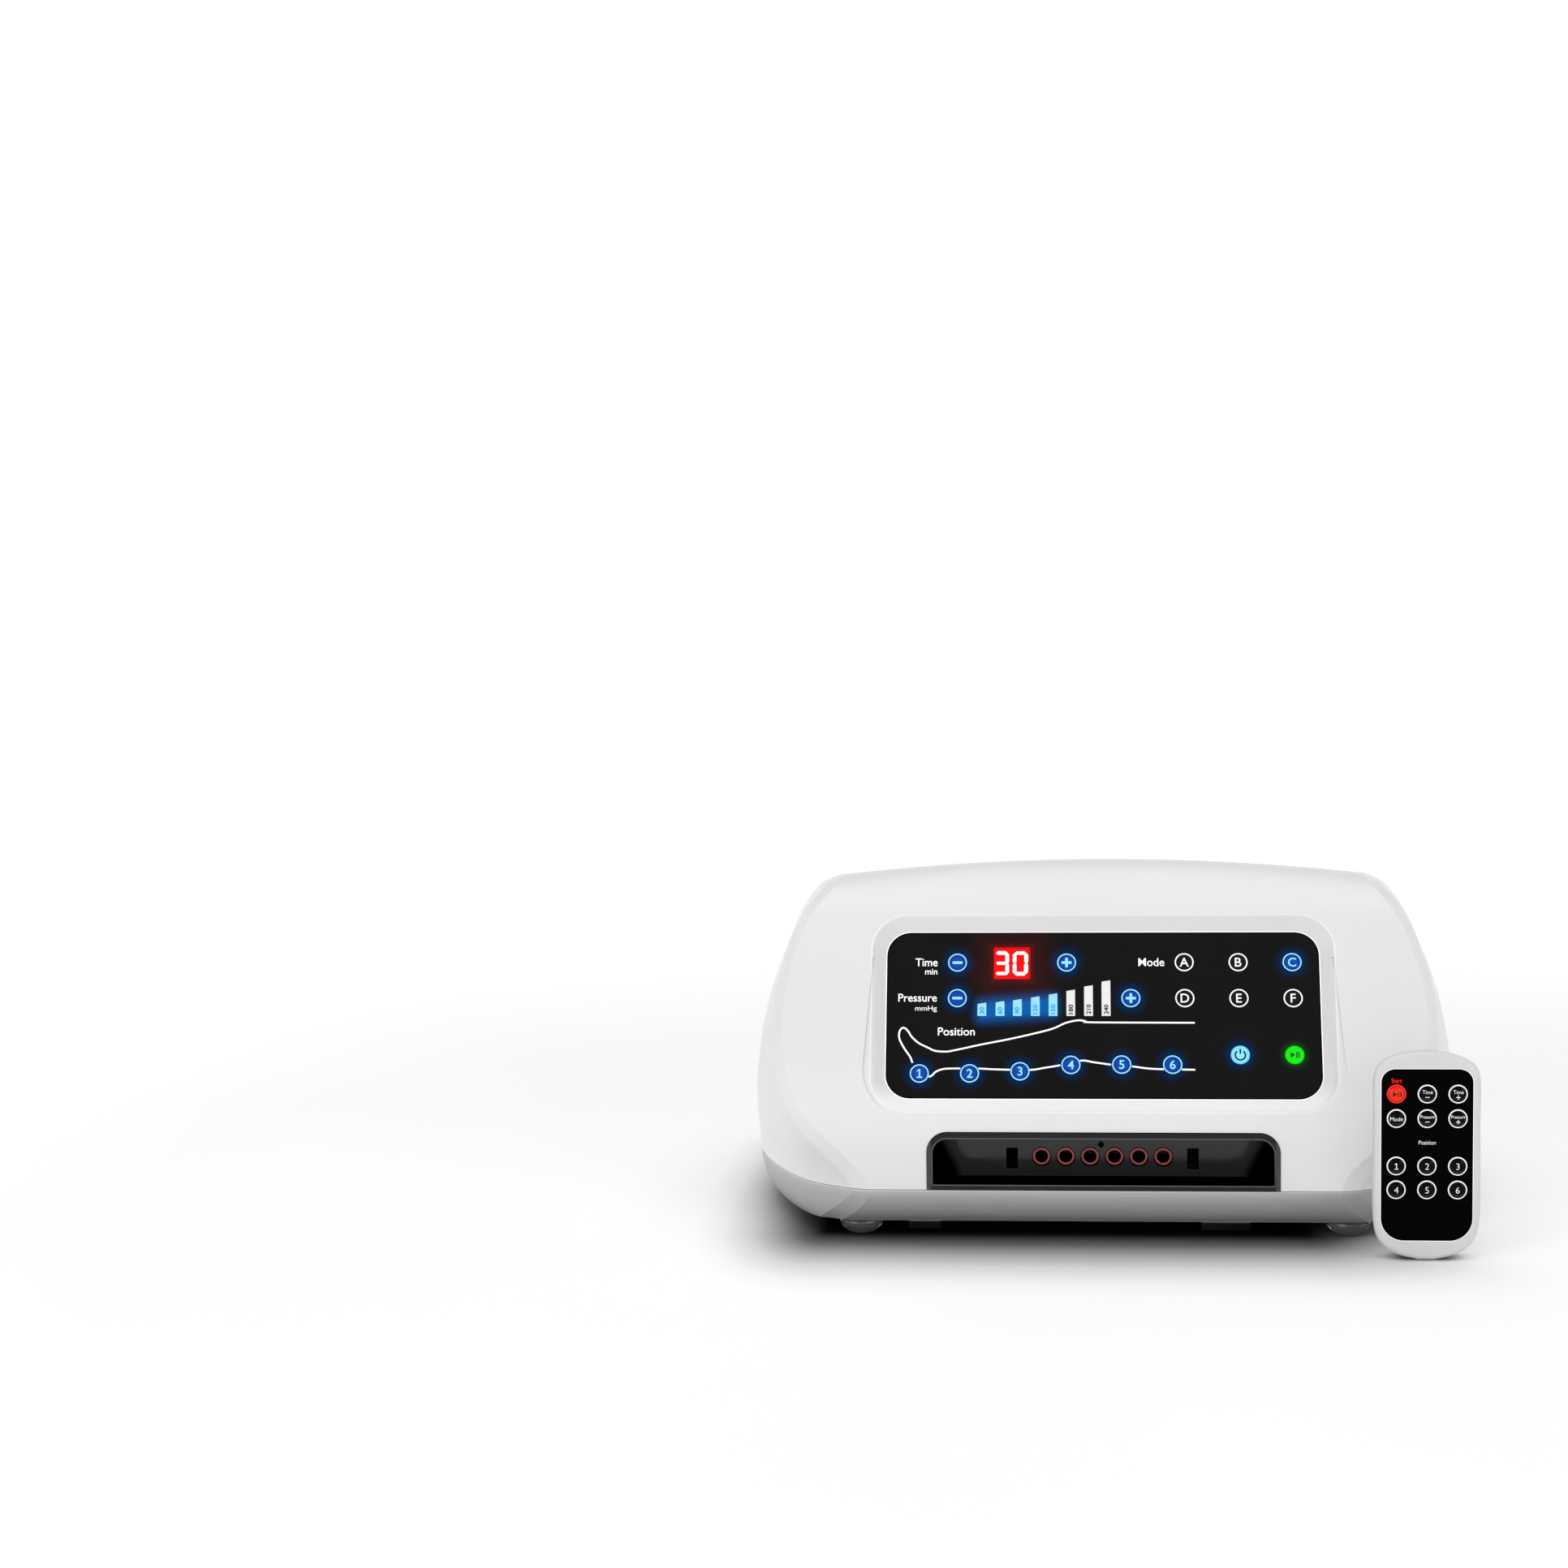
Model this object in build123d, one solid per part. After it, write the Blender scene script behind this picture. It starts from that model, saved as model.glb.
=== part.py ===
from build123d import *
import math
import os

# ---------------------------------------------------------------------------
# Air compression therapy pump with its hand-held remote control.
# Working frame: X to the user's right, Y away from the user (front face at
# y = 0), Z up.  At the end everything moves to the row's reference point: the
# bottom centre of the set, on the surface that it stands on.
# Millimetres throughout.
# ---------------------------------------------------------------------------

# --- overall ---------------------------------------------------------------
FOOT_DROP = 3.4              # the surface lies this far below z = 0
BASE_Z = 4.2                 # underside of the base tray
PLINTH_Z = 3.3               # underside of the flat plinth moulded below it
SEAM_Z = 20.8                # parting plane between base tray and housing
SEAM_GAP = 0.15              # half of the visible seam
CORNER = 4.2                 # flat bevel all round both end faces
CORNER_SOFT = 2.0            # softening of that bevel's two edges
WALL = 2.8                   # moulded wall
MAX_DEPTH_Y = 105.0          # station at which the body is widest
CREST = (85.0, 168.0)        # highest visible line of the top, y and z
TOP_SAG = 7.7                # fall of the top from the centre to x = 132

# --- tilted control panel --------------------------------------------------
TILT = 27.0                  # panel leans back from the vertical
PANEL_C = (0.0, 26.5, 100.0)  # middle of the panel's face
PANEL_W, PANEL_H, PANEL_R = 207.2, 83.2, 11.8
PANEL_DV = 0.35              # the window's middle lies this far up the slope
PANEL_T = 2.0
PROUD = 3.2                  # housing face stands this far before the panel
RECESS_W, RECESS_TOP, RECESS_BOTTOM, RECESS_R = 221.0, 49.4, 48.1, 17.0

# --- keys of the control panel, u to the right, v up the slope -------------
KEY_R, KEY_HOLE_R, KEY_TRAVEL = 4.55, 4.70, 0.5
KEYS = {
    "key_time_down": (-69.5, 26.7), "key_time_up": (-17.0, 26.7),
    "key_pressure_down": (-69.5, 8.8), "key_pressure_up": (13.6, 8.8),
    "key_mode_a": (39.3, 26.8), "key_mode_b": (65.0, 26.8), "key_mode_c": (90.65, 26.8),
    "key_mode_d": (39.3, 8.8), "key_mode_e": (65.0, 8.8), "key_mode_f": (90.65, 8.8),
    "key_chamber_1": (-87.4, -28.8), "key_chamber_2": (-63.4, -28.7),
    "key_chamber_3": (-39.4, -27.6), "key_chamber_4": (-15.2, -24.4),
    "key_chamber_5": (8.9, -24.2), "key_chamber_6": (33.0, -24.2),
    "key_power": (65.0, -19.3), "key_start_pause": (90.6, -19.3),
}
DISPLAY = (-43.15, 26.5, 17.6, 16.2)     # u, v, width, height of the red window
BARS = [(-57.7, 6.2), (-49.0, 7.0), (-40.7, 8.0), (-32.1, 9.4),
        (-23.6, 10.9), (-15.1, 12.7), (-6.6, 14.9), (1.8, 17.4)]  # u, height
BAR_W, BAR_SLANT = 4.1, 0.7

# --- socket bay ------------------------------------------------------------
BAY_DX = -0.45               # the bay's middle sits a little left of the panel's
BAY_HW, BAY_Z0, BAY_Z1, BAY_R = 83.4, 21.0, 48.8, 9.8
BAY_IN_HW, BAY_IN_Z0, BAY_IN_Z1, BAY_IN_R = 80.45, 23.6, 45.5, 7.0
BAY_DEPTH = 28.0
PORT_PITCH, PORT_Z = 11.66, 31.0
PORT_DX = -0.4               # the socket row sits a little left of the panel's middle
PORTS_X = [PORT_DX + PORT_PITCH * (i - 2.5) for i in range(6)]
SOCKET_R, SOCKET_BORE_R = 4.05, 3.2
LATCH_X, LATCH_W, LATCH_Z0, LATCH_Z1 = 43.3, 5.6, 25.0, 35.2

# --- remote control --------------------------------------------------------
RC_X, RC_FRONT_Y = 147.25, -33.0
RC_HW, RC_H, RC_T = 24.5, 97.4, 13.0
RC_BTN_R, RC_HOLE_R, RC_TRAVEL = 4.1, 4.25, 0.7
RC_COLS = (-13.92, 0.0, 13.92)
RC_ROWS = (77.9, 66.45, 44.3, 33.2)
RC_NAMES = [["remote_start_pause", "remote_time_down", "remote_time_up"],
            ["remote_mode", "remote_pressure_down", "remote_pressure_up"],
            ["remote_chamber_1", "remote_chamber_2", "remote_chamber_3"],
            ["remote_chamber_4", "remote_chamber_5", "remote_chamber_6"]]

parts = {}
T = math.radians(TILT)
ST, CT = math.sin(T), math.cos(T)
panel_plane = Plane(origin=PANEL_C, x_dir=(1, 0, 0), z_dir=(0, -CT, ST))


def in_panel(shape):
    """Place something drawn in panel coordinates (u, v, outward)."""
    return panel_plane.location * shape


def box(x0, x1, y0, y1, z0, z1):
    return Pos((x0 + x1) / 2, (y0 + y1) / 2, (z0 + z1) / 2) * Box(x1 - x0, y1 - y0, z1 - z0)


def rod(x, y, z, r, length, axis="Y"):
    """Cylinder that starts at the point and runs along +axis."""
    if axis == "Y":
        return Pos(x, y + length / 2, z) * Rot(90, 0, 0) * Cylinder(r, length)
    if axis == "X":
        return Pos(x + length / 2, y, z) * Rot(0, 90, 0) * Cylinder(r, length)
    return Pos(x, y, z + length / 2) * Cylinder(r, length)


def rrect(w, h, r):
    return RectangleRounded(w, h, r)


# ---------------------------------------------------------------------------
# Body form.  It is the common volume of two skins: a side profile drawn in
# Y-Z and carried across X (the top falls a little towards both sides), and a
# set of X-Z outlines carried along Y (the body is widest in mid depth and
# narrows to a smaller rounded face at the front and at the back).
# ---------------------------------------------------------------------------
def profile(x, inset):
    sag = TOP_SAG * (abs(x) / 132.0) ** 2
    i = inset
    yl = lambda z: PANEL_C[1] - (PROUD - i) / CT + (z - PANEL_C[2]) * ST / CT
    foot_edge = (10.2 + i, 3.5)
    undercut = Spline((x, *foot_edge), (x, 3.6 + i, 10.2), (x, 0.75 + i, 16.2), (x, i, SEAM_Z),
                      tangents=[(0, -0.86, 0.5), (0, -0.02, 1)])
    blend = Spline((x, i, 42.0), (x, yl(68.0), 68.0), tangents=[(0, 0, 1), (0, ST, CT)])
    # brow, roof and shoulder run tangent into each other
    brow_a = (x, 46.35 + i * CT, 146.0 - i * ST)
    brow_b = (x, 85.0, 168.0 - i - sag)
    roof_b = (x, 152.0 - i * .3, 154.0 - i * .95 - sag)
    wall_a = (x, 218.0 - i, 88.0)
    brow = Spline(brow_a, brow_b, tangents=[(0, ST, CT), (0, 0.9932, -0.1161)])
    roof = Spline(brow_b, roof_b, tangents=[(0, 0.9932, -0.1161), (0, 0.945, -0.327)])
    shoulder = Spline(roof_b, wall_a, tangents=[(0, 0.945, -0.327), (0, 0.08, -1)])
    edges = [undercut, Line((x, i, SEAM_Z), (x, i, 42.0)), blend,
             Line((x, yl(68.0), 68.0), brow_a), brow, roof, shoulder,
             Line(wall_a, (x, 221.0 - i, 40.0)),
             Line((x, 221.0 - i, 40.0), (x, 221.0 - i, SEAM_Z)),
             Line((x, 221.0 - i, SEAM_Z), (x, 216.0 - i, 3.5)),
             Line((x, 216.0 - i, 3.5), (x, *foot_edge))]
    return Face(Wire(edges))


LEVELS = [2.0, 5.8, 12.0, 20.8, 31.0, 38.0, 47.0, 58.0, 83.0, 110.0, 130.0, 145.0, 155.0, 164.0, 178.0]
OUTLINES = {
    -8.0: [101, 105.25, 105.625, 105, 112.625, 121.85, 131.75, 140.25, 142.875, 141, 138, 134, 127, 117, 102],
    0.0: [111.25, 115.625, 116, 115.625, 122.6, 130, 138.9, 145.625, 148.2, 146.6, 143.375, 138, 130, 120, 104],
    13.0: [129.75, 135.75, 136.35, 136.1, 139.85, 144.5, 149.5, 153.625, 155.6, 153.225, 148.575, 142.375, 134.15, 122.5, 107],
    30.0: [140.125, 147.475, 149.025, 149.15, 151.475, 154.225, 157.2, 159.725, 160.375, 157.075, 151.275, 144.75, 136.875, 125.225, 109],
    59.0: [151.25, 159.1, 161.525, 162.225, 163.525, 165.4, 166.9, 167.6, 165.9, 160.5, 152.9, 146.15, 137.875, 127, 111],
    105.0: [159, 167.5, 170.5, 172.2, 172.9, 173.3, 173.5, 173.2, 169.6, 162.1, 154.4, 147.0, 138.5, 127, 110.5],
    150.0: [153, 161.5, 164.5, 167, 168.2, 169, 169.6, 169.5, 166.6, 159.5, 151.5, 143.5, 135.0, 124, 108],
    190.0: [135, 146, 149.5, 151.5, 154, 156.3, 158, 158.5, 156, 149.5, 142.5, 135, 127, 116, 101],
    212.0: [113, 125, 130, 134, 138, 141, 143.5, 144.5, 143, 137.5, 131, 124.5, 117, 107, 94],
    230.0: [86, 98, 104, 109, 114, 118, 121.5, 124, 124, 119.5, 114, 107.5, 101, 92, 80],
}


def outline(y, inset):
    hw = [w - inset for w in OUTLINES[y]]
    right = [(a, y, z) for a, z in zip(hw, LEVELS)]
    left = [(-a, y, z) for a, z in zip(hw, LEVELS)]
    return Face(Wire([Line(left[0], right[0]), Spline(*right), Line(right[-1], left[-1]), Spline(*left[::-1])]))


def body(inset):
    skin_a = loft([profile(x, inset) for x in (-182, -130, -65, 0, 65, 130, 182)])
    skin_b = loft([outline(y, inset) for y in OUTLINES])
    return skin_a & skin_b



def keep(name, shape):
    solids = shape.solids()
    assert len(solids) >= 1, name
    part = solids[0] if len(solids) == 1 else Compound(children=list(solids))
    parts[name] = part
    return part


def corner_edges(shape, low):
    """Edges where front, top and back meet the two end faces, above the level low."""
    found = []
    for e in shape.edges():
        b = e.bounding_box()
        if abs(b.min.X) > 100 and abs(b.max.X) > 100 and b.min.X * b.max.X > 0 and b.max.Z > low:
            found.append(e)
    return found


ABOVE = box(-200, 200, -30, 250, SEAM_Z + SEAM_GAP, 200)
BELOW = box(-200, 200, -30, 250, BASE_Z, SEAM_Z - SEAM_GAP)
raw = body(0.0)
tray_skin = raw & BELOW
tray_skin = chamfer([e for e in tray_skin.edges() if e.bounding_box().min.X * e.bounding_box().max.X > 0
                     and e.bounding_box().size.Z > 10 and e.bounding_box().size.Y < 30], CORNER)
outer = chamfer([e for e in corner_edges(raw, SEAM_Z + 0.5) if e.bounding_box().min.Z > SEAM_Z - 0.1], CORNER)
outer = fillet([e for e in corner_edges(outer, SEAM_Z + 0.5) if e.bounding_box().min.Z > SEAM_Z - 0.1], CORNER_SOFT)
inner = body(WALL)
inner = chamfer(corner_edges(inner, SEAM_Z - 0.8), CORNER - 1.8)

# ---------------------------------------------------------------------------
# Upper housing: one moulded shell, open below, with the recess for the
# control panel, the mouth of the socket bay and the frame of the rear plate.
# ---------------------------------------------------------------------------
housing = (outer & ABOVE) - inner

seat = in_panel(Pos(0, 0.65, -5.5) * extrude(rrect(RECESS_W + 8, RECESS_TOP + RECESS_BOTTOM + 8, RECESS_R + 3), 8.6))
housing = housing + (seat & outer)
recess_a = Pos(0, 0.65, PROUD) * rrect(RECESS_W, RECESS_TOP + RECESS_BOTTOM, RECESS_R)
recess_b = Pos(0, PANEL_DV) * rrect(PANEL_W + 0.6, PANEL_H + 0.6, PANEL_R + 0.3)
housing = housing - in_panel(loft([recess_b, recess_a]))
housing = housing - in_panel(extrude(recess_a, 14))
# shallow step along both sides of the recess, from its lower corners to its shoulders
step = make_face(Polyline((-110.3, 28.5), (-114.3, -24.0), (-114.5, -28.0), (-113.9, -33.0), (-112.0, -38.5), (-108.6, -43.6), (-104.0, -47.4),
                          (104.0, -47.4), (108.6, -43.6), (112.0, -38.5), (113.9, -33.0), (114.5, -28.0), (114.3, -24.0), (110.3, 28.5), close=True))
housing = housing - in_panel(Pos(0, 0, PROUD - 0.9) * extrude(step, 12))
housing = housing - in_panel(Pos(0, PANEL_DV, -PANEL_T) * extrude(rrect(PANEL_W + 0.3, PANEL_H + 0.3, PANEL_R + 0.1), PANEL_T + 1))
housing = housing - in_panel(Pos(0, 0, -9) * extrude(rrect(PANEL_W - 10, PANEL_H - 10, 8), 9))
for u in (-100.4, 100.4):
    for v in (-29.0, 29.0):
        housing = housing + in_panel(Pos(u, v, -12 + 3.4) * Cylinder(2.3, 6.8))

bay_mouth = Pos(0, 0, 0) * Rot(90, 0, 0) * extrude(
    make_face(Polyline((-BAY_HW, 15), (BAY_HW, 15), (BAY_HW, BAY_Z1 - BAY_R), (BAY_HW - BAY_R, BAY_Z1),
                       (-BAY_HW + BAY_R, BAY_Z1), (-BAY_HW, BAY_Z1 - BAY_R), close=True)), 20, both=True)


def arch(hw, z0, z1, r_top, r_low, y0, y1):
    """Front-view outline with large upper and small lower corners, from y0 to y1."""
    sk = make_face(Wire([
        Line((-hw + r_low, z0), (hw - r_low, z0)),
        RadiusArc((hw - r_low, z0), (hw, z0 + r_low), -r_low),
        Line((hw, z0 + r_low), (hw, z1 - r_top)),
        RadiusArc((hw, z1 - r_top), (hw - r_top, z1), -r_top),
        Line((hw - r_top, z1), (-hw + r_top, z1)),
        RadiusArc((-hw + r_top, z1), (-hw, z1 - r_top), -r_top),
        Line((-hw, z1 - r_top), (-hw, z0 + r_low)),
        RadiusArc((-hw, z0 + r_low), (-hw + r_low, z0), -r_low)]))
    solid = extrude(Plane.XZ * sk, -(y1 - y0))
    return Pos(0, y0, 0) * solid


housing = housing - Pos(BAY_DX, 0, 0) * arch(BAY_HW, 12.0, BAY_Z1, BAY_R, 1.0, -12, 20)

# rear frame for the service plate
REAR = dict(hw=65.0, z0=27.0, z1=71.0, r=4.0, y0=215.4, y1=217.8)
frame_block = box(-73, 73, 212.6, 222, SEAM_Z + SEAM_GAP, 80) & outer
housing = housing + frame_block
housing = housing - arch(REAR["hw"] + 0.2, REAR["z0"] - 0.2, REAR["z1"] + 0.2, REAR["r"], REAR["r"], REAR["y0"], 230)
housing = housing - arch(REAR["hw"] - 4, REAR["z0"] + 4, REAR["z1"] - 4, 2, 2, 205, 225)

# screw bosses at the four corners
SCREWS = [(-139, 48), (139, 48), (-133, 188), (133, 188)]
for sx, sy in SCREWS:
    a, b = sorted((sx - math.copysign(6, sx), sx + math.copysign(40, sx)))
    housing = housing + (box(a, b, sy - 6, sy + 6, SEAM_Z + SEAM_GAP, 40) & outer)
    housing = housing - rod(sx, sy, 10, 1.6, 26, "Z")
keep("upper_housing", housing)

# ---------------------------------------------------------------------------
# Base tray with screw columns, board posts and two moulded pads underneath
# ---------------------------------------------------------------------------
FLOOR_Z = BASE_Z + 3.0
tray = tray_skin - (inner & box(-200, 200, -30, 250, FLOOR_Z, 60))
plinth = [(121.0, 11.2), (131.5, 17.0), (141.0, 32.0), (152.0, 60.0), (160.0, 105.0), (154.0, 150.0), (137.0, 190.0), (104.0, 210.0)]
plinth = make_face(Wire([Line((-121.0, 11.2), (121.0, 11.2)), Spline(*plinth), Line((104.0, 210.0), (-104.0, 210.0)),
                         Spline(*[(-a, b) for a, b in plinth[::-1]])]))
tray = tray + Pos(0, 0, PLINTH_Z) * extrude(plinth, BASE_Z - PLINTH_Z + 0.4)
for sx, sy in SCREWS:
    tray = tray + rod(sx, sy, BASE_Z, 6.5, SEAM_Z - SEAM_GAP - BASE_Z, "Z")
    tray = tray - rod(sx, sy, PLINTH_Z - 1, 4.2, BASE_Z - PLINTH_Z + 5.0, "Z") - rod(sx, sy, BASE_Z, 1.75, 30, "Z")
BOARD_POSTS = [(46, 124), (134, 124), (46, 172), (112, 172)]
for bx, by in BOARD_POSTS:
    tray = tray + rod(bx, by, FLOOR_Z - 0.5, 3.5, 12.5, "Z")
for px, pw in ((-85.3, 16.3), (58.0, 24.0)):
    tray = tray + Pos(px, 18.5, -0.8) * extrude(rrect(pw, 13.0, 1.5), PLINTH_Z + 1.2)
FEET = [(-116.0, 17.0), (116.0, 17.0), (-104, 196), (104, 196)]
for fx, fy in FEET:
    tray = tray - rod(fx, fy, PLINTH_Z - 1, 2.6, 10, "Z")
keep("base_tray", tray)

# ---------------------------------------------------------------------------
# Feet: clear domed bumpers with a stem that snaps into the tray
# ---------------------------------------------------------------------------
foot_profile = make_face(Wire([
    Line((0, -FOOT_DROP), (4.4, -FOOT_DROP)),
    Spline((4.4, -FOOT_DROP), (8.0, 1.7 - FOOT_DROP), (9.8, 3.9 - FOOT_DROP), (10.4, PLINTH_Z - 0.8), tangents=[(1, 0.12), (0.1, 1)]),
    Line((10.4, PLINTH_Z - 0.8), (10.1, PLINTH_Z)), Line((10.1, PLINTH_Z), (2.55, PLINTH_Z)),
    Line((2.55, PLINTH_Z), (2.55, FLOOR_Z + 0.2)), Line((2.55, FLOOR_Z + 0.2), (0, FLOOR_Z + 0.2)),
    Line((0, FLOOR_Z + 0.2), (0, -FOOT_DROP))]))
foot = revolve(Plane.XZ * foot_profile, Axis.Z)
keep("feet", Compound(children=[(Pos(fx, fy, 0) * foot).solids()[0] for fx, fy in FEET]))

screw = rod(0, 0, BASE_Z + 0.6, 3.7, 3.4, "Z") + rod(0, 0, BASE_Z + 3.9, 1.6, 26.4, "Z")
screw = screw - box(-2.6, 2.6, -0.45, 0.45, BASE_Z, BASE_Z + 2.2) - box(-0.45, 0.45, -2.6, 2.6, BASE_Z, BASE_Z + 2.2)
keep("housing_screws", Compound(children=[(Pos(sx, sy, 0) * screw).solids()[0] for sx, sy in SCREWS]))

# ---------------------------------------------------------------------------
# Control panel: window, keys, display and pressure bars, board and switches
# ---------------------------------------------------------------------------
window = Pos(0, PANEL_DV, -PANEL_T) * extrude(rrect(PANEL_W, PANEL_H, PANEL_R), PANEL_T)
for u, v in KEYS.values():
    window = window - Pos(u, v, -PANEL_T / 2) * Cylinder(KEY_HOLE_R, PANEL_T + 1)
du, dv, dw, dh = DISPLAY
window = window - Pos(du, dv, -1) * Box(dw, dh, 6)


def bar_face(u, h, grow):
    w = BAR_W / 2 + grow
    return Pos(u, 0) * make_face(Polyline((-w, -grow), (w, -grow), (w, h + BAR_SLANT / 2 + grow),
                                          (-w, h - BAR_SLANT / 2 + grow), close=True))


for u, h in BARS:
    window = window - Pos(0, 0, -4) * extrude(bar_face(u, h, 0.1), 6)
keep("panel_window", in_panel(window))

BOARD_TOP = -12.0
for name, (u, v) in KEYS.items():
    cap = Pos(u, v, -1.3) * Cylinder(KEY_R, 2.6)
    cap = cap + Pos(u, v, -5.0) * Cylinder(1.6, 5.0)
    keep(name, in_panel(cap))
switches = [in_panel(Pos(u, v, BOARD_TOP + 1.4) * Box(6, 6, 2.8) + Pos(u, v, BOARD_TOP + 3.3) * Cylinder(1.7, 1.0)).solids()[0]
            for u, v in KEYS.values()]
keep("key_switches", Compound(children=switches))
keep("time_display", in_panel(Pos(du, dv, BOARD_TOP / 2 - 0.03) * Box(dw - 0.2, dh - 0.2, -BOARD_TOP - 0.06)))
keep("pressure_bars", Compound(children=[
    in_panel(Pos(0, 0, BOARD_TOP) * extrude(bar_face(u, h, 0.0), -BOARD_TOP - 0.06)).solids()[0] for u, h in BARS]))
board = Pos(0, 0, BOARD_TOP - 1.6) * extrude(rrect(207, 74, 2), 1.6)
for u in (-88, 88):
    board = board + Pos(u, 0, BOARD_TOP - 5.1) * Box(12, 30, 7)
board = board + Pos(0, 6, BOARD_TOP - 2.6) * Box(18, 18, 2.0) + Pos(36, -8, BOARD_TOP - 2.6) * Box(12, 16, 2.0)
keep("control_board", in_panel(board))

# ---------------------------------------------------------------------------
# Socket bay: glossy frame and pocket, port plate, six air sockets
# ---------------------------------------------------------------------------
BAY_BACK = BAY_DEPTH + 3.0
bay = arch(BAY_HW - 0.15, BAY_Z0, BAY_Z1 - 0.15, BAY_R - 0.1, 0.4, -0.5, BAY_BACK)
hollow = arch(BAY_IN_HW, BAY_IN_Z0, BAY_IN_Z1, BAY_IN_R, 1.2, -2, BAY_DEPTH)
pr = 21.0
plan = make_face(Wire([
    Line((-BAY_IN_HW - 1, -3), (BAY_IN_HW + 1, -3)), Line((BAY_IN_HW + 1, -3), (BAY_IN_HW + 1, BAY_DEPTH - pr)),
    Spline((BAY_IN_HW + 1, BAY_DEPTH - pr), (BAY_IN_HW - 7.2, BAY_DEPTH - 6.2), (BAY_IN_HW - pr, BAY_DEPTH),
           tangents=[(0, 1), (-1, 0)]),
    Line((BAY_IN_HW - pr, BAY_DEPTH), (-BAY_IN_HW + pr, BAY_DEPTH)),
    Spline((-BAY_IN_HW + pr, BAY_DEPTH), (-BAY_IN_HW + 7.2, BAY_DEPTH - 6.2), (-BAY_IN_HW - 1, BAY_DEPTH - pr),
           tangents=[(-1, 0), (0, -1)]),
    Line((-BAY_IN_HW - 1, BAY_DEPTH - pr), (-BAY_IN_HW - 1, -3))]))
hollow = hollow & extrude(plan, 60)
PLATE_HW = 58.0
bay = bay - hollow - box(-PLATE_HW, PLATE_HW, 20, BAY_BACK + 1, BAY_IN_Z0 + 0.6, BAY_IN_Z1 - 0.6)
# the back corners are cored out from behind, as a moulding would be
for s in (-1, 1):
    a, b = sorted((s * 61.5, s * 79.5))
    core = box(a, b, BAY_DEPTH - 14, BAY_BACK + 1, BAY_Z0 + 2.5, BAY_Z1 - 2.7)
    bay = bay - (core - (Pos(0, 2.2, 0) * extrude(plan, 60)))
keep("socket_bay", Pos(BAY_DX, 0, 0) * bay)

plate = box(BAY_DX - PLATE_HW + 0.05, BAY_DX + PLATE_HW - 0.05, BAY_DEPTH, BAY_BACK, BAY_IN_Z0 + 0.65, BAY_IN_Z1 - 0.65)
for x in PORTS_X:
    plate = plate - rod(x, BAY_DEPTH - 1, PORT_Z, SOCKET_R + 0.05, 6) - rod(x, BAY_DEPTH - 1, PORT_Z, 4.85, 2.6)
for s in (-1, 1):
    plate = plate - box(PORT_DX + s * LATCH_X - LATCH_W / 2, PORT_DX + s * LATCH_X + LATCH_W / 2, 26, 34, LATCH_Z0, LATCH_Z1)
for dx, dz in ((0.8, 0), (-0.8, 0), (0, 0.8), (0, -0.8)):
    plate = plate - rod(PORT_DX - 0.6 + dx, 26, 36.9 + dz, 0.85, 8)
keep("port_plate", plate)

socket = rod(0, 28.5, PORT_Z, SOCKET_R, 6.5) + rod(0, BAY_BACK, PORT_Z, 5.5, 1.8) + rod(0, 34, PORT_Z, 3.9, 14)
socket = socket - rod(0, 27, PORT_Z, SOCKET_BORE_R, 30)
keep("air_sockets", Compound(children=[(Pos(x, 0, 0) * socket).solids()[0] for x in PORTS_X]))

# ---------------------------------------------------------------------------
# Air path: rotary distribution valve behind the sockets, its motor, hoses,
# and a linear double-diaphragm compressor on rubber mounts
# ---------------------------------------------------------------------------
VX, VY = 0.0, 84.0                        # valve axis
CX, CY, CZ = -79.0, 165.0, 54.0          # middle of the compressor
valve = box(-38, 38, 66, 102, 24, 40) + Pos(VX, VY, 46) * Cylinder(24, 12)
valve = valve - Pos(VX, VY, 40 + 7) * Cylinder(20.4, 14)
for x in PORTS_X:
    valve = valve + rod(x, 56, PORT_Z, 3.9, 10.5) - rod(x, 55, PORT_Z, 2.2, 20)
valve = valve + rod(-30, 101.5, PORT_Z, 3.9, 9.5) - rod(-30, 92, PORT_Z, 2.2, 22)
for sx in (-33, 33):
    for sy in (71, 97):
        valve = valve + rod(sx, sy, FLOOR_Z, 4, 24.2 - FLOOR_Z, "Z")
keep("valve_body", valve)
rotor = Pos(VX, VY, 43.9) * Cylinder(20.0, 6.8) + Pos(VX, VY, 54) * Cylinder(3.0, 20)
rotor = rotor - Pos(VX + 12.5, VY, 44) * Cylinder(3.4, 10) - (Pos(VX - 12, VY, 41.2) * Box(9, 16, 2.6))
keep("valve_rotor", rotor)
motor = Pos(VX, VY, 53.3) * Cylinder(24, 2.6) + Pos(VX, VY, 66.6) * Cylinder(17, 24)
motor = motor - Pos(VX, VY, 58.5) * Cylinder(3.06, 14)
motor = motor + Pos(VX, VY + 17, 66) * Box(12, 8, 10)
keep("valve_motor", motor)


def tube(path, ro, ri):
    e = path.edges()[0]
    pl = Plane(origin=path @ 0, z_dir=path % 0)
    return sweep(pl * Circle(ro), path=path) - sweep(pl * Circle(ri), path=path)


hoses = [(rod(x, 38, PORT_Z, 5.2, 26) - rod(x, 37, PORT_Z, 3.95, 28)).solids()[0] for x in PORTS_X]
sup = FilletPolyline((-30, 104, PORT_Z), (-30, 119, PORT_Z), (CX + 35, 117, CZ), (CX + 35, 133, CZ), radius=7.4)
main_hose = sweep(Plane(origin=(-30, 104, PORT_Z), z_dir=(0, 1, 0)) * Circle(5.2), path=sup) \
    - sweep(Plane(origin=(-30, 104, PORT_Z), z_dir=(0, 1, 0)) * Circle(3.95), path=sup)
hoses.append(main_hose.solids()[0])
keep("air_hoses", Compound(children=hoses))

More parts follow.
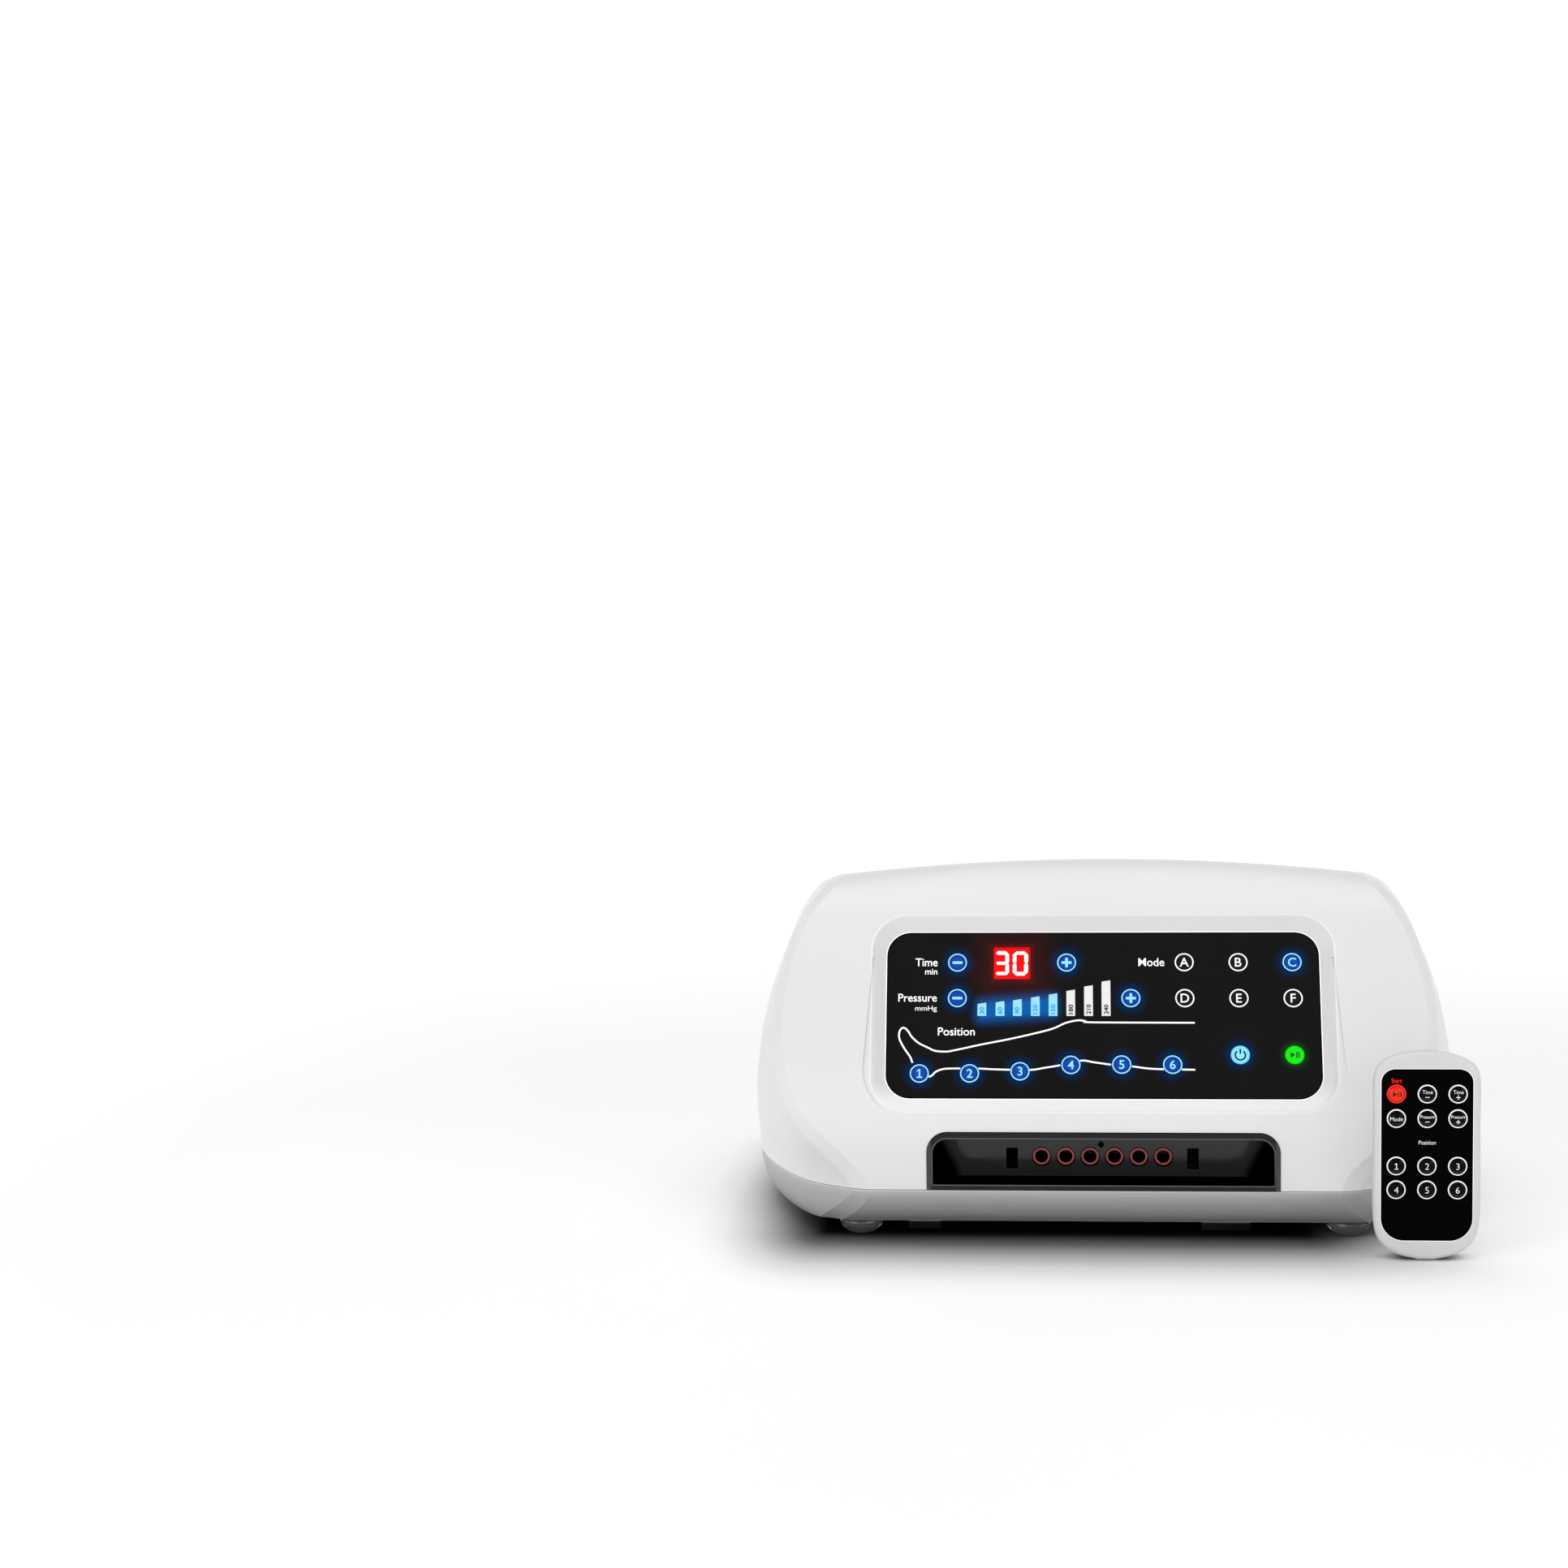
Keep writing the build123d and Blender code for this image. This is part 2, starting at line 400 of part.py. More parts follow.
CY0, CY1, CZ0, CZ1 = 136.0, 194.0, 24.0, 84.0
case = box(CX - 47, CX + 47, CY0, CY1, CZ0, CZ1)
case = fillet(case.edges().filter_by(Axis.X), 6)
case = case - box(CX - 23, CX + 23, CY0 + 5, CY1 - 5, CZ0 + 5, CZ1 - 5)
case = case - rod(CX - 43, CY, CZ, 21, 21, "X") - rod(CX + 22, CY, CZ, 21, 21, "X")
case = case + rod(CX + 35, 126, CZ, 3.9, 13) - rod(CX + 35, 125, CZ, 2.2, 24)
keep("compressor_case", case)
arm = box(CX - 20, CX + 20, CY - 7, CY + 7, CZ - 7, CZ + 7) \
    + rod(CX - 32, CY, CZ, 5, 13, "X") + rod(CX + 19, CY, CZ, 5, 13, "X")
keep("compressor_armature", arm)
keep("compressor_diaphragms", Compound(children=[
    rod(CX - 34, CY, CZ, 20.5, 2, "X").solids()[0], rod(CX + 32, CY, CZ, 20.5, 2, "X").solids()[0]]))
coils = []
for z0, z1 in ((CZ + 9, CZ1 - 5), (CZ0 + 5, CZ - 9)):
    coils.append((box(CX - 17, CX + 17, CY - 20, CY + 20, z0, z1)
                  - box(CX - 4, CX + 4, CY - 30, CY + 30, (z0 + z1) / 2 - 2, (z0 + z1) / 2 + 2)).solids()[0])
keep("compressor_coils", Compound(children=coils))
mount = revolve(Plane.XZ * make_face(Polyline((0, FLOOR_Z), (7.5, FLOOR_Z), (7.5, FLOOR_Z + 4), (5, FLOOR_Z + 6),
                                              (5, CZ0 - 4), (7.5, CZ0 - 3), (7.5, CZ0), (0, CZ0), close=True)), Axis.Z)
keep("compressor_mounts", Compound(children=[
    (Pos(x, y, 0) * mount).solids()[0] for x in (CX - 33, CX + 33) for y in (CY0 + 9, CY1 - 9)]))

# ---------------------------------------------------------------------------
# Mains side: service plate with vents, inlet, power board
# ---------------------------------------------------------------------------
rear = arch(REAR["hw"], REAR["z0"], REAR["z1"], REAR["r"] - 0.2, REAR["r"] - 0.2, REAR["y0"], REAR["y1"])
INLET_X, INLET_Z = 38.0, 49.0
rear = rear - box(INLET_X - 13.7, INLET_X + 13.7, 210, 225, INLET_Z - 10.2, INLET_Z + 10.2)
for k in range(9):
    x = -56 + 7.0 * k
    rear = rear - arch(1.5, 33, 65, 1.4, 1.4, 210, 225).moved(Location((x, 0, 0)))
keep("rear_plate", rear)
inlet = box(INLET_X - 13.6, INLET_X + 13.6, 196, 217.8, INLET_Z - 10.1, INLET_Z + 10.1) \
    + (Pos(INLET_X, 218.8, INLET_Z) * Rot(90, 0, 0) * extrude(rrect(33, 25.5, 3), 1.0, both=True))
socket_shape = Pos(INLET_X, 0, INLET_Z) * extrude(Plane.XZ * make_face(Polyline(
    (-11.8, -8.2), (11.8, -8.2), (11.8, 3.6), (7.2, 8.2), (-7.2, 8.2), (-11.8, 3.6), close=True)), -25)
inlet = inlet - (Pos(0, 205, 0) * socket_shape)
for dx, dz in ((-7, -1.5), (7, -1.5), (0, 2.8)):
    inlet = inlet + box(INLET_X + dx - 1, INLET_X + dx + 1, 203, 213, INLET_Z + dz - 2.2, INLET_Z + dz + 2.2)
    inlet = inlet + box(INLET_X + dx - 1, INLET_X + dx + 1, 189, 197, INLET_Z + dz - 2.2, INLET_Z + dz + 2.2)
keep("mains_inlet", inlet)

BT = FLOOR_Z + 12.0
power = box(40, 140, 118, 178, BT, BT + 1.6)
power = power - box(118, 150, 166, 190, BT - 1, BT + 3)
power = power + box(60, 96, 128, 160, BT + 1.5, BT + 30) + rod(112, 134, BT + 1.5, 8, 24, "Z") + rod(128, 152, BT + 1.5, 6, 18, "Z") \
    + box(46, 50, 130, 168, BT + 1.5, BT + 26) + box(98, 114, 156, 168, BT + 1.5, BT + 14)
keep("power_board", power)

# ---------------------------------------------------------------------------
# Remote control, standing on its end in front of the pump
# ---------------------------------------------------------------------------
Y0, Z0 = RC_FRONT_Y, -FOOT_DROP
right_pts = [(2.0, 0.0), (4.6, 0.22), (7.6, 0.85), (12.2, 2.1), (16.7, 4.3), (20.6, 7.7), (23.2, 12.6), (24.3, 20.0), (RC_HW, 45.0),
             (24.5, 72.0), (24.25, 85.0), (23.4, 88.7), (21.3, 91.7), (17.4, 94.2), (10.6, 96.4), (0.0, RC_H)]


def rc_outline(k, taper=0.0):
    """Outline drawn in by the taper at its sides and top, then shrunk by k towards its middle."""
    pts = []
    n = len(right_pts)
    form = [(a * (1 - taper / RC_HW), b * (1 - taper / RC_H)) for a, b in right_pts]
    for i, (a, b) in enumerate(form):
        pa = form[max(0, i - 1)]
        pb = form[min(n - 1, i + 1)]
        tx, tz = pb[0] - pa[0], pb[1] - pa[1]
        if i == 0:
            tx, tz = 1.0, 0.0
        if i == n - 1:
            tx, tz = -1.0, 0.0
        L = math.hypot(tx, tz)
        pts.append((a - k * tz / L, b + k * tx / L))
    left = [(-a, b) for a, b in pts][::-1]
    return make_face(Wire([Line(left[-1], pts[0]), Spline(*pts[::-1], tangents=[(1, 0), (-1, 0)]),
                           Spline(*left, tangents=[(-1, 0), (1, 0)])]))


def rc_slab(k, y0, y1):
    return Pos(RC_X, Y0 + y0, Z0) * extrude(Plane.XZ * rc_outline(k), -(y1 - y0))


def rc_skin(*sections):
    """Solid through outlines given as depth, shrink and taper."""
    return loft([Pos(RC_X, Y0 + y, Z0) * (Plane.XZ * rc_outline(k, t)) for y, k, t in sections], ruled=True)


# the front edge is rounded; the sides and the top draw in towards the back
front = rc_skin((2.4, 0, 0), (1.45, 0.17, 0), (0.7, 0.62, 0), (0.18, 1.3, 0), (0.0, 2.1, 0))
front = front + rc_skin((2.4, 0, 0), (6.4, 0, 0.5))
front = front - rc_slab(1.8, 2.0, 7)


def overlay_face(g):
    hw, zb, zt = 20.75 + g, 9.35 - g, 89.4 + g
    rt, rb = 6.2 + g, 10.4 + g
    return make_face(Wire([
        Line((-hw + rb, zb), (hw - rb, zb)), RadiusArc((hw - rb, zb), (hw, zb + rb), -rb),
        Line((hw, zb + rb), (hw, zt - rt)), RadiusArc((hw, zt - rt), (hw - rt, zt), -rt),
        Line((hw - rt, zt), (-hw + rt, zt)), RadiusArc((-hw + rt, zt), (-hw, zt - rt), -rt),
        Line((-hw, zt - rt), (-hw, zb + rb)), RadiusArc((-hw, zb + rb), (-hw + rb, zb), -rb)]))


front = front - (Pos(RC_X, Y0 - 1, Z0) * extrude(Plane.XZ * overlay_face(0.1), -1.8))
film = Pos(RC_X, Y0 + 0.1, Z0) * extrude(Plane.XZ * overlay_face(0.0), -0.7)
rc_keys = {}
for r, row in enumerate(RC_NAMES):
    for c, nm in enumerate(row):
        x, z = RC_X + RC_COLS[c], Z0 + RC_ROWS[r]
        rc_keys[nm] = (x, z)
        front = front - rod(x, Y0 - 2, z, RC_HOLE_R, 5)
        film = film - rod(x, Y0 - 2, z, RC_HOLE_R, 5)
keep("remote_front", front)
keep("remote_overlay", film)
DOME_H = 1.0
dome_R = (RC_BTN_R ** 2 + DOME_H ** 2) / (2 * DOME_H)
button = rod(0, -DOME_H - 0.1, 0, RC_BTN_R, 3.6 + DOME_H) & (Pos(0, -DOME_H - 0.1 + dome_R, 0) * Sphere(dome_R))
button = button + rod(0, 2.05, 0, 5.0, 0.7)
for nm, (x, z) in rc_keys.items():
    keep(nm, Pos(x, Y0, z) * button)
rc_board = Pos(RC_X, Y0 + 4.8, Z0) * extrude(Plane.XZ * make_face(Polyline(
    (-19.5, 12), (19.5, 12), (21, 20), (21, 84), (17, 88), (-17, 88), (-21, 84), (-21, 20), close=True)), -1.0)
for nm, (x, z) in rc_keys.items():
    rc_board = rc_board + rod(x, Y0 + 4.35, z, 2.2, 0.6)
keep("remote_board", rc_board)
back = rc_skin((6.55, 0, 0.52), (10.2, 0, 0.97)) + rc_skin((10.2, 0, 0.97), (12.1, 1.0, 0.97), (RC_T, 3.0, 0.97))
back = back - rc_slab(2.7, 6, 10.8)
COVER = (-14, 14, 14, 48)
back = back - box(RC_X + COVER[0] - 0.1, RC_X + COVER[1] + 0.1, Y0 + 11.4, Y0 + 14, Z0 + COVER[2] - 0.1, Z0 + COVER[3] + 0.1)
back = back - box(RC_X + COVER[0] + 1.5, RC_X + COVER[1] - 1.5, Y0 + 8, Y0 + 14, Z0 + COVER[2] + 1.5, Z0 + COVER[3] - 1.5)
keep("remote_back", back)
cover = box(RC_X + COVER[0], RC_X + COVER[1], Y0 + 11.45, Y0 + RC_T, Z0 + COVER[2], Z0 + COVER[3])
cover = cover + box(RC_X - 5, RC_X + 5, Y0 + RC_T - 0.1, Y0 + RC_T + 0.4, Z0 + COVER[3] - 6.0, Z0 + COVER[3] - 5.2) \
    + box(RC_X - 5, RC_X + 5, Y0 + RC_T - 0.1, Y0 + RC_T + 0.4, Z0 + COVER[3] - 4.2, Z0 + COVER[3] - 3.4)
keep("remote_battery_cover", cover)
keep("remote_battery", rod(RC_X, Y0 + 7.0, Z0 + 31, 10, 3.2))

# ---------------------------------------------------------------------------
# Move everything to the reference point and write one file per piece
# ---------------------------------------------------------------------------
y_lo = Y0 - DOME_H - 0.1
y_hi = 221.0
shift = Location((0, -(y_lo + y_hi) / 2, FOOT_DROP))
if __name__ == "__main__":
    os.makedirs("parts", exist_ok=True)
    print("shift", shift.position)
    for name, shape in parts.items():
        export_step(shape.moved(shift), f"parts/{name}.step")
        print(name, len(shape.solids()), round(sum(q.volume for q in shape.solids()) / 1000, 2))
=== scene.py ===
import math

import bmesh
import bpy
from mathutils import Euler, Matrix, Vector


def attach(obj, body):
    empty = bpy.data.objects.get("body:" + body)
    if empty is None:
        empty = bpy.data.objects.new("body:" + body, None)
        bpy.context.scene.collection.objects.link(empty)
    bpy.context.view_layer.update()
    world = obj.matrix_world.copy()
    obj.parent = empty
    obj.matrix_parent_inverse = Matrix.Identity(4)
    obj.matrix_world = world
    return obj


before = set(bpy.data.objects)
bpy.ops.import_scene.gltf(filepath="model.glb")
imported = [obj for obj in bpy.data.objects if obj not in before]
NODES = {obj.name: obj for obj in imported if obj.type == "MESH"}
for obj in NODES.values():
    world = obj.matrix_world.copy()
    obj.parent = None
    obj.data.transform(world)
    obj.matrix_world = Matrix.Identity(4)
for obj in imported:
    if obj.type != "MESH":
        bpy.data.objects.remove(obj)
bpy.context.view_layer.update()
SCENE = bpy.context.scene

# ---------------------------------------------------------------- camera
# Same place, direction and lens as the picture of the console, whole 1932 x 1932 frame, no shift.
CAM_AT = Vector((-0.01549, -1.62656, 0.38531))
YAW, PITCH, ROLL = -0.0868771, -0.1078342, -0.0150188
LENS_MM = 75.488


def make_camera():
    fw = Vector((math.sin(YAW) * math.cos(PITCH), math.cos(YAW) * math.cos(PITCH), math.sin(PITCH)))
    right = fw.cross(Vector((0, 0, 1))).normalized()
    up = right.cross(fw)
    r2 = right * math.cos(ROLL) + up * math.sin(ROLL)
    u2 = -right * math.sin(ROLL) + up * math.cos(ROLL)
    data = bpy.data.cameras.new("view_camera")
    data.lens = LENS_MM
    data.sensor_width = 36.0
    data.sensor_fit = "HORIZONTAL"
    data.clip_start, data.clip_end = 0.05, 60.0
    cam = bpy.data.objects.new("view_camera", data)
    SCENE.collection.objects.link(cam)
    m = Matrix((r2, u2, -fw)).transposed().to_4x4()
    m.translation = CAM_AT
    cam.matrix_world = m
    SCENE.camera = cam


make_camera()
SCENE.view_settings.view_transform = "Standard"
SCENE.view_settings.look = "None"

# ---------------------------------------------------------------- frames of reference
# The control panel leans back 27 degrees. (u, v, n) are millimetres on it: right, up its face, out of it.
P_C = Vector((0.0, -0.06695, 0.1034))
P_TILT = math.radians(63.0)
P_U = Vector((1, 0, 0))
P_V = Vector((0, math.cos(P_TILT), math.sin(P_TILT)))
P_N = P_U.cross(P_V)
PANEL_W, PANEL_H, PANEL_R, PANEL_DV = 207.2, 83.2, 11.8, 0.35

# The remote stands upright at the right. (x, z) are millimetres from its centre line and its foot.
R_X = 147.25
R_FACE = -126.35
DOME_C, DOME_R = -118.645, 8.905

KEYS = {
    "key_time_down": (-69.5, 26.7), "key_time_up": (-17.0, 26.7),
    "key_pressure_down": (-69.5, 8.8), "key_pressure_up": (13.6, 8.8),
    "key_mode_a": (39.3, 26.8), "key_mode_b": (65.0, 26.8), "key_mode_c": (90.65, 26.8),
    "key_mode_d": (39.3, 8.8), "key_mode_e": (65.0, 8.8), "key_mode_f": (90.65, 8.8),
    "key_chamber_1": (-87.4, -28.8), "key_chamber_2": (-63.4, -28.7), "key_chamber_3": (-39.4, -27.6),
    "key_chamber_4": (-15.2, -24.4), "key_chamber_5": (8.9, -24.2), "key_chamber_6": (33.0, -24.2),
    "key_power": (65.0, -19.3), "key_start_pause": (90.6, -19.3),
}
LIT_BLUE = ["key_time_down", "key_time_up", "key_pressure_down", "key_pressure_up", "key_mode_c",
            "key_chamber_1", "key_chamber_2", "key_chamber_3", "key_chamber_4", "key_chamber_5", "key_chamber_6"]
LIT_WHITE = ["key_mode_a", "key_mode_b", "key_mode_d", "key_mode_e", "key_mode_f"]
BARS = [(-57.7, 6.2), (-49.0, 7.0), (-40.7, 8.0), (-32.1, 9.4),
        (-23.6, 10.9), (-15.1, 12.7), (-6.6, 14.9), (1.8, 17.4)]
BAR_W = 4.1
DISPLAY = (-43.15, 26.5, 17.6, 16.2)

# The socket bay: front face and floor of its pocket, and the outline of its mouth.
BAY_X, BAY_Y, BAY_Z = -0.00045, -0.09345, 0.027
MOUTH_HW, MOUTH_H, MOUTH_R = 80.45, 21.9, 7.0


def rounded(g, x, y, hw, hh, r):
    """Signed distance from a rounded box: below zero inside it."""
    ax = g.math("SUBTRACT", g.math("ABSOLUTE", x), hw - r)
    ay = g.math("SUBTRACT", g.math("ABSOLUTE", y), hh - r)
    out = g.vmath("LENGTH", g.join(g.math("MAXIMUM", ax, 0.0), g.math("MAXIMUM", ay, 0.0), 0.0))
    return g.math("SUBTRACT", g.math("ADD", out, g.math("MINIMUM", g.math("MAXIMUM", ax, ay), 0.0)), r)


def panel(u, v, n=0.03):
    return P_C + (P_U * u + P_V * v + P_N * n) * 0.001


def srgb(r, g, b):
    """An 8 bit display colour as the linear colour that the shader takes."""
    def one(c):
        c /= 255.0
        return c / 12.92 if c <= 0.04045 else ((c + 0.055) / 1.055) ** 2.4
    return (one(r), one(g), one(b), 1.0)


# ---------------------------------------------------------------- material kit
class Graph:
    """A material with one Principled shader, and short helpers for the nodes in front of it."""

    def __init__(self, name):
        self.mat = bpy.data.materials.new(name)
        self.mat.use_nodes = True
        self.nt = self.mat.node_tree
        self.bsdf = next(n for n in self.nt.nodes if n.type == "BSDF_PRINCIPLED")
        self.coord = self.nt.nodes.new("ShaderNodeTexCoord")

    def node(self, kind, **props):
        n = self.nt.nodes.new(kind)
        for k, v in props.items():
            setattr(n, k, v)
        return n

    def link(self, a, b):
        self.nt.links.new(a, b)

    def set(self, socket, value):
        self.bsdf.inputs[socket].default_value = value

    def out(self, socket, source):
        self.link(source, self.bsdf.inputs[socket])

    @property
    def obj(self):
        return self.coord.outputs["Object"]

    def noise(self, size_mm, detail=2.0, rough=0.5, vector=None, stretch=None):
        """Fractal noise whose blobs are about size_mm wide."""
        v = vector or self.obj
        if stretch:
            m = self.node("ShaderNodeMapping")
            m.inputs["Scale"].default_value = stretch
            self.link(v, m.inputs["Vector"])
            v = m.outputs["Vector"]
        n = self.node("ShaderNodeTexNoise")
        n.inputs["Scale"].default_value = 1000.0 / size_mm
        n.inputs["Detail"].default_value = detail
        n.inputs["Roughness"].default_value = rough
        self.link(v, n.inputs["Vector"])
        return n.outputs["Fac"]

    def local(self, at, turn=(0, 0, 0), scale=0.001):
        """Object coordinates measured from a point, in a turned frame, in millimetres."""
        m = self.node("ShaderNodeMapping", vector_type="TEXTURE")
        m.inputs["Location"].default_value = at
        m.inputs["Rotation"].default_value = turn
        m.inputs["Scale"].default_value = (scale, scale, scale)
        self.link(self.obj, m.inputs["Vector"])
        return m.outputs["Vector"]

    def math(self, op, a, b=None, c=None, clamp=False):
        n = self.node("ShaderNodeMath", operation=op, use_clamp=clamp)
        for i, x in enumerate((a, b, c)):
            if x is None:
                continue
            if isinstance(x, (int, float)):
                n.inputs[i].default_value = x
            else:
                self.link(x, n.inputs[i])
        return n.outputs[0]

    def vmath(self, op, a, b=None):
        n = self.node("ShaderNodeVectorMath", operation=op)
        for i, x in enumerate((a, b)):
            if x is None:
                continue
            if isinstance(x, (tuple, list, Vector)):
                n.inputs[i].default_value = x
            else:
                self.link(x, n.inputs[i])
        return n.outputs["Value"] if op in ("LENGTH", "DISTANCE", "DOT_PRODUCT") else n.outputs["Vector"]

    def split(self, v):
        n = self.node("ShaderNodeSeparateXYZ")
        self.link(v, n.inputs[0])
        return n.outputs[0], n.outputs[1], n.outputs[2]

    def join(self, x, y, z):
        n = self.node("ShaderNodeCombineXYZ")
        for i, s in enumerate((x, y, z)):
            if isinstance(s, (int, float)):
                n.inputs[i].default_value = s
            else:
                self.link(s, n.inputs[i])
        return n.outputs[0]

    def fit(self, x, a, b, c, d, smooth=False):
        n = self.node("ShaderNodeMapRange", interpolation_type="SMOOTHSTEP" if smooth else "LINEAR", clamp=True)
        self.link(x, n.inputs["Value"])
        for k, v in zip(("From Min", "From Max", "To Min", "To Max"), (a, b, c, d)):
            n.inputs[k].default_value = v
        return n.outputs["Result"]

    def ramp(self, x, stops, mode="LINEAR"):
        n = self.node("ShaderNodeValToRGB")
        n.color_ramp.interpolation = mode
        el = n.color_ramp.elements
        while len(el) < len(stops):
            el.new(0.5)
        for e, (p, col) in zip(el, stops):
            e.position = p
            e.color = col
        self.link(x, n.inputs["Fac"])
        return n.outputs["Color"]

    def mix(self, fac, a, b):
        n = self.node("ShaderNodeMix", data_type="RGBA")
        for s, x in ((n.inputs[0], fac), (n.inputs[6], a), (n.inputs[7], b)):
            if isinstance(x, (int, float, tuple, list)):
                s.default_value = x
            else:
                self.link(x, s)
        return n.outputs[2]

    def rgb(self, r, g, b):
        n = self.node("ShaderNodeCombineColor", mode="RGB")
        for i, s in enumerate((r, g, b)):
            if isinstance(s, (int, float)):
                n.inputs[i].default_value = s
            else:
                self.link(s, n.inputs[i])
        return n.outputs["Color"]

    def bump(self, *layers):
        """layers of (height source, strength, distance in mm), stacked."""
        last = None
        for src, strength, dist in layers:
            b = self.node("ShaderNodeBump")
            b.inputs["Strength"].default_value = strength
            b.inputs["Distance"].default_value = dist * 0.001
            self.link(src, b.inputs["Height"])
            if last is not None:
                self.link(last, b.inputs["Normal"])
            last = b.outputs["Normal"]
        self.out("Normal", last)


def shade(c, k):
    return (min(1.0, c[0] * k), min(1.0, c[1] * k), min(1.0, c[2] * k), 1.0)


def plastic(name, col, rough, spec=0.5, cloud=(38.0, 0.02), grain=(0.45, 0.12, 0.02), rvar=0.05, metal=0.0,
            stretch=None, flow=None, coat=0.0):
    """Moulded or machined stock: slow colour drift, a fine surface grain and a roughness that wanders."""
    g = Graph(name)
    slow = g.noise(cloud[0], 3.0, 0.55)
    g.out("Base Color", g.ramp(slow, [(0.30, shade(col, 1.0 - cloud[1])), (0.70, shade(col, 1.0 + cloud[1]))]))
    fine = g.noise(grain[0], 2.0, 0.6, stretch=stretch)
    mid = g.noise(grain[0] * 22.0, 3.0, 0.6, stretch=stretch)
    g.out("Roughness", g.fit(mid, 0.25, 0.75, max(0.02, rough - rvar), min(1.0, rough + rvar)))
    layers = [(fine, grain[1], grain[2])]
    if flow:
        layers.append((g.noise(flow[0], 1.0, 0.4), flow[1], flow[2]))
    g.bump(*layers)
    g.set("Specular IOR Level", spec)
    g.set("Metallic", metal)
    if coat:
        g.set("Coat Weight", coat)
        g.set("Coat Roughness", 0.06)
    return g


def paint(node, graph):
    """Give a CAD node this material on all its slots."""
    ob = NODES[node]
    if not ob.material_slots:
        ob.data.materials.append(graph.mat)
    for s in ob.material_slots:
        s.material = graph.mat


# ---------------------------------------------------------------- ink: printed and lit graphics
def catmull(points, step):
    """A smooth line through the points, in steps of about step."""
    pts = [Vector(p) for p in points]
    pts = [pts[0] * 2 - pts[1]] + pts + [pts[-1] * 2 - pts[-2]]
    out = []
    for a, b, c, d in zip(pts, pts[1:], pts[2:], pts[3:]):
        n = max(2, int((c - b).length / step))
        for i in range(n):
            t = i / n
            out.append(0.5 * ((2 * b) + (c - a) * t + (2 * a - 5 * b + 4 * c - d) * t * t
                              + (3 * b - a - 3 * c + d) * t * t * t))
    out.append(pts[-2])
    return out


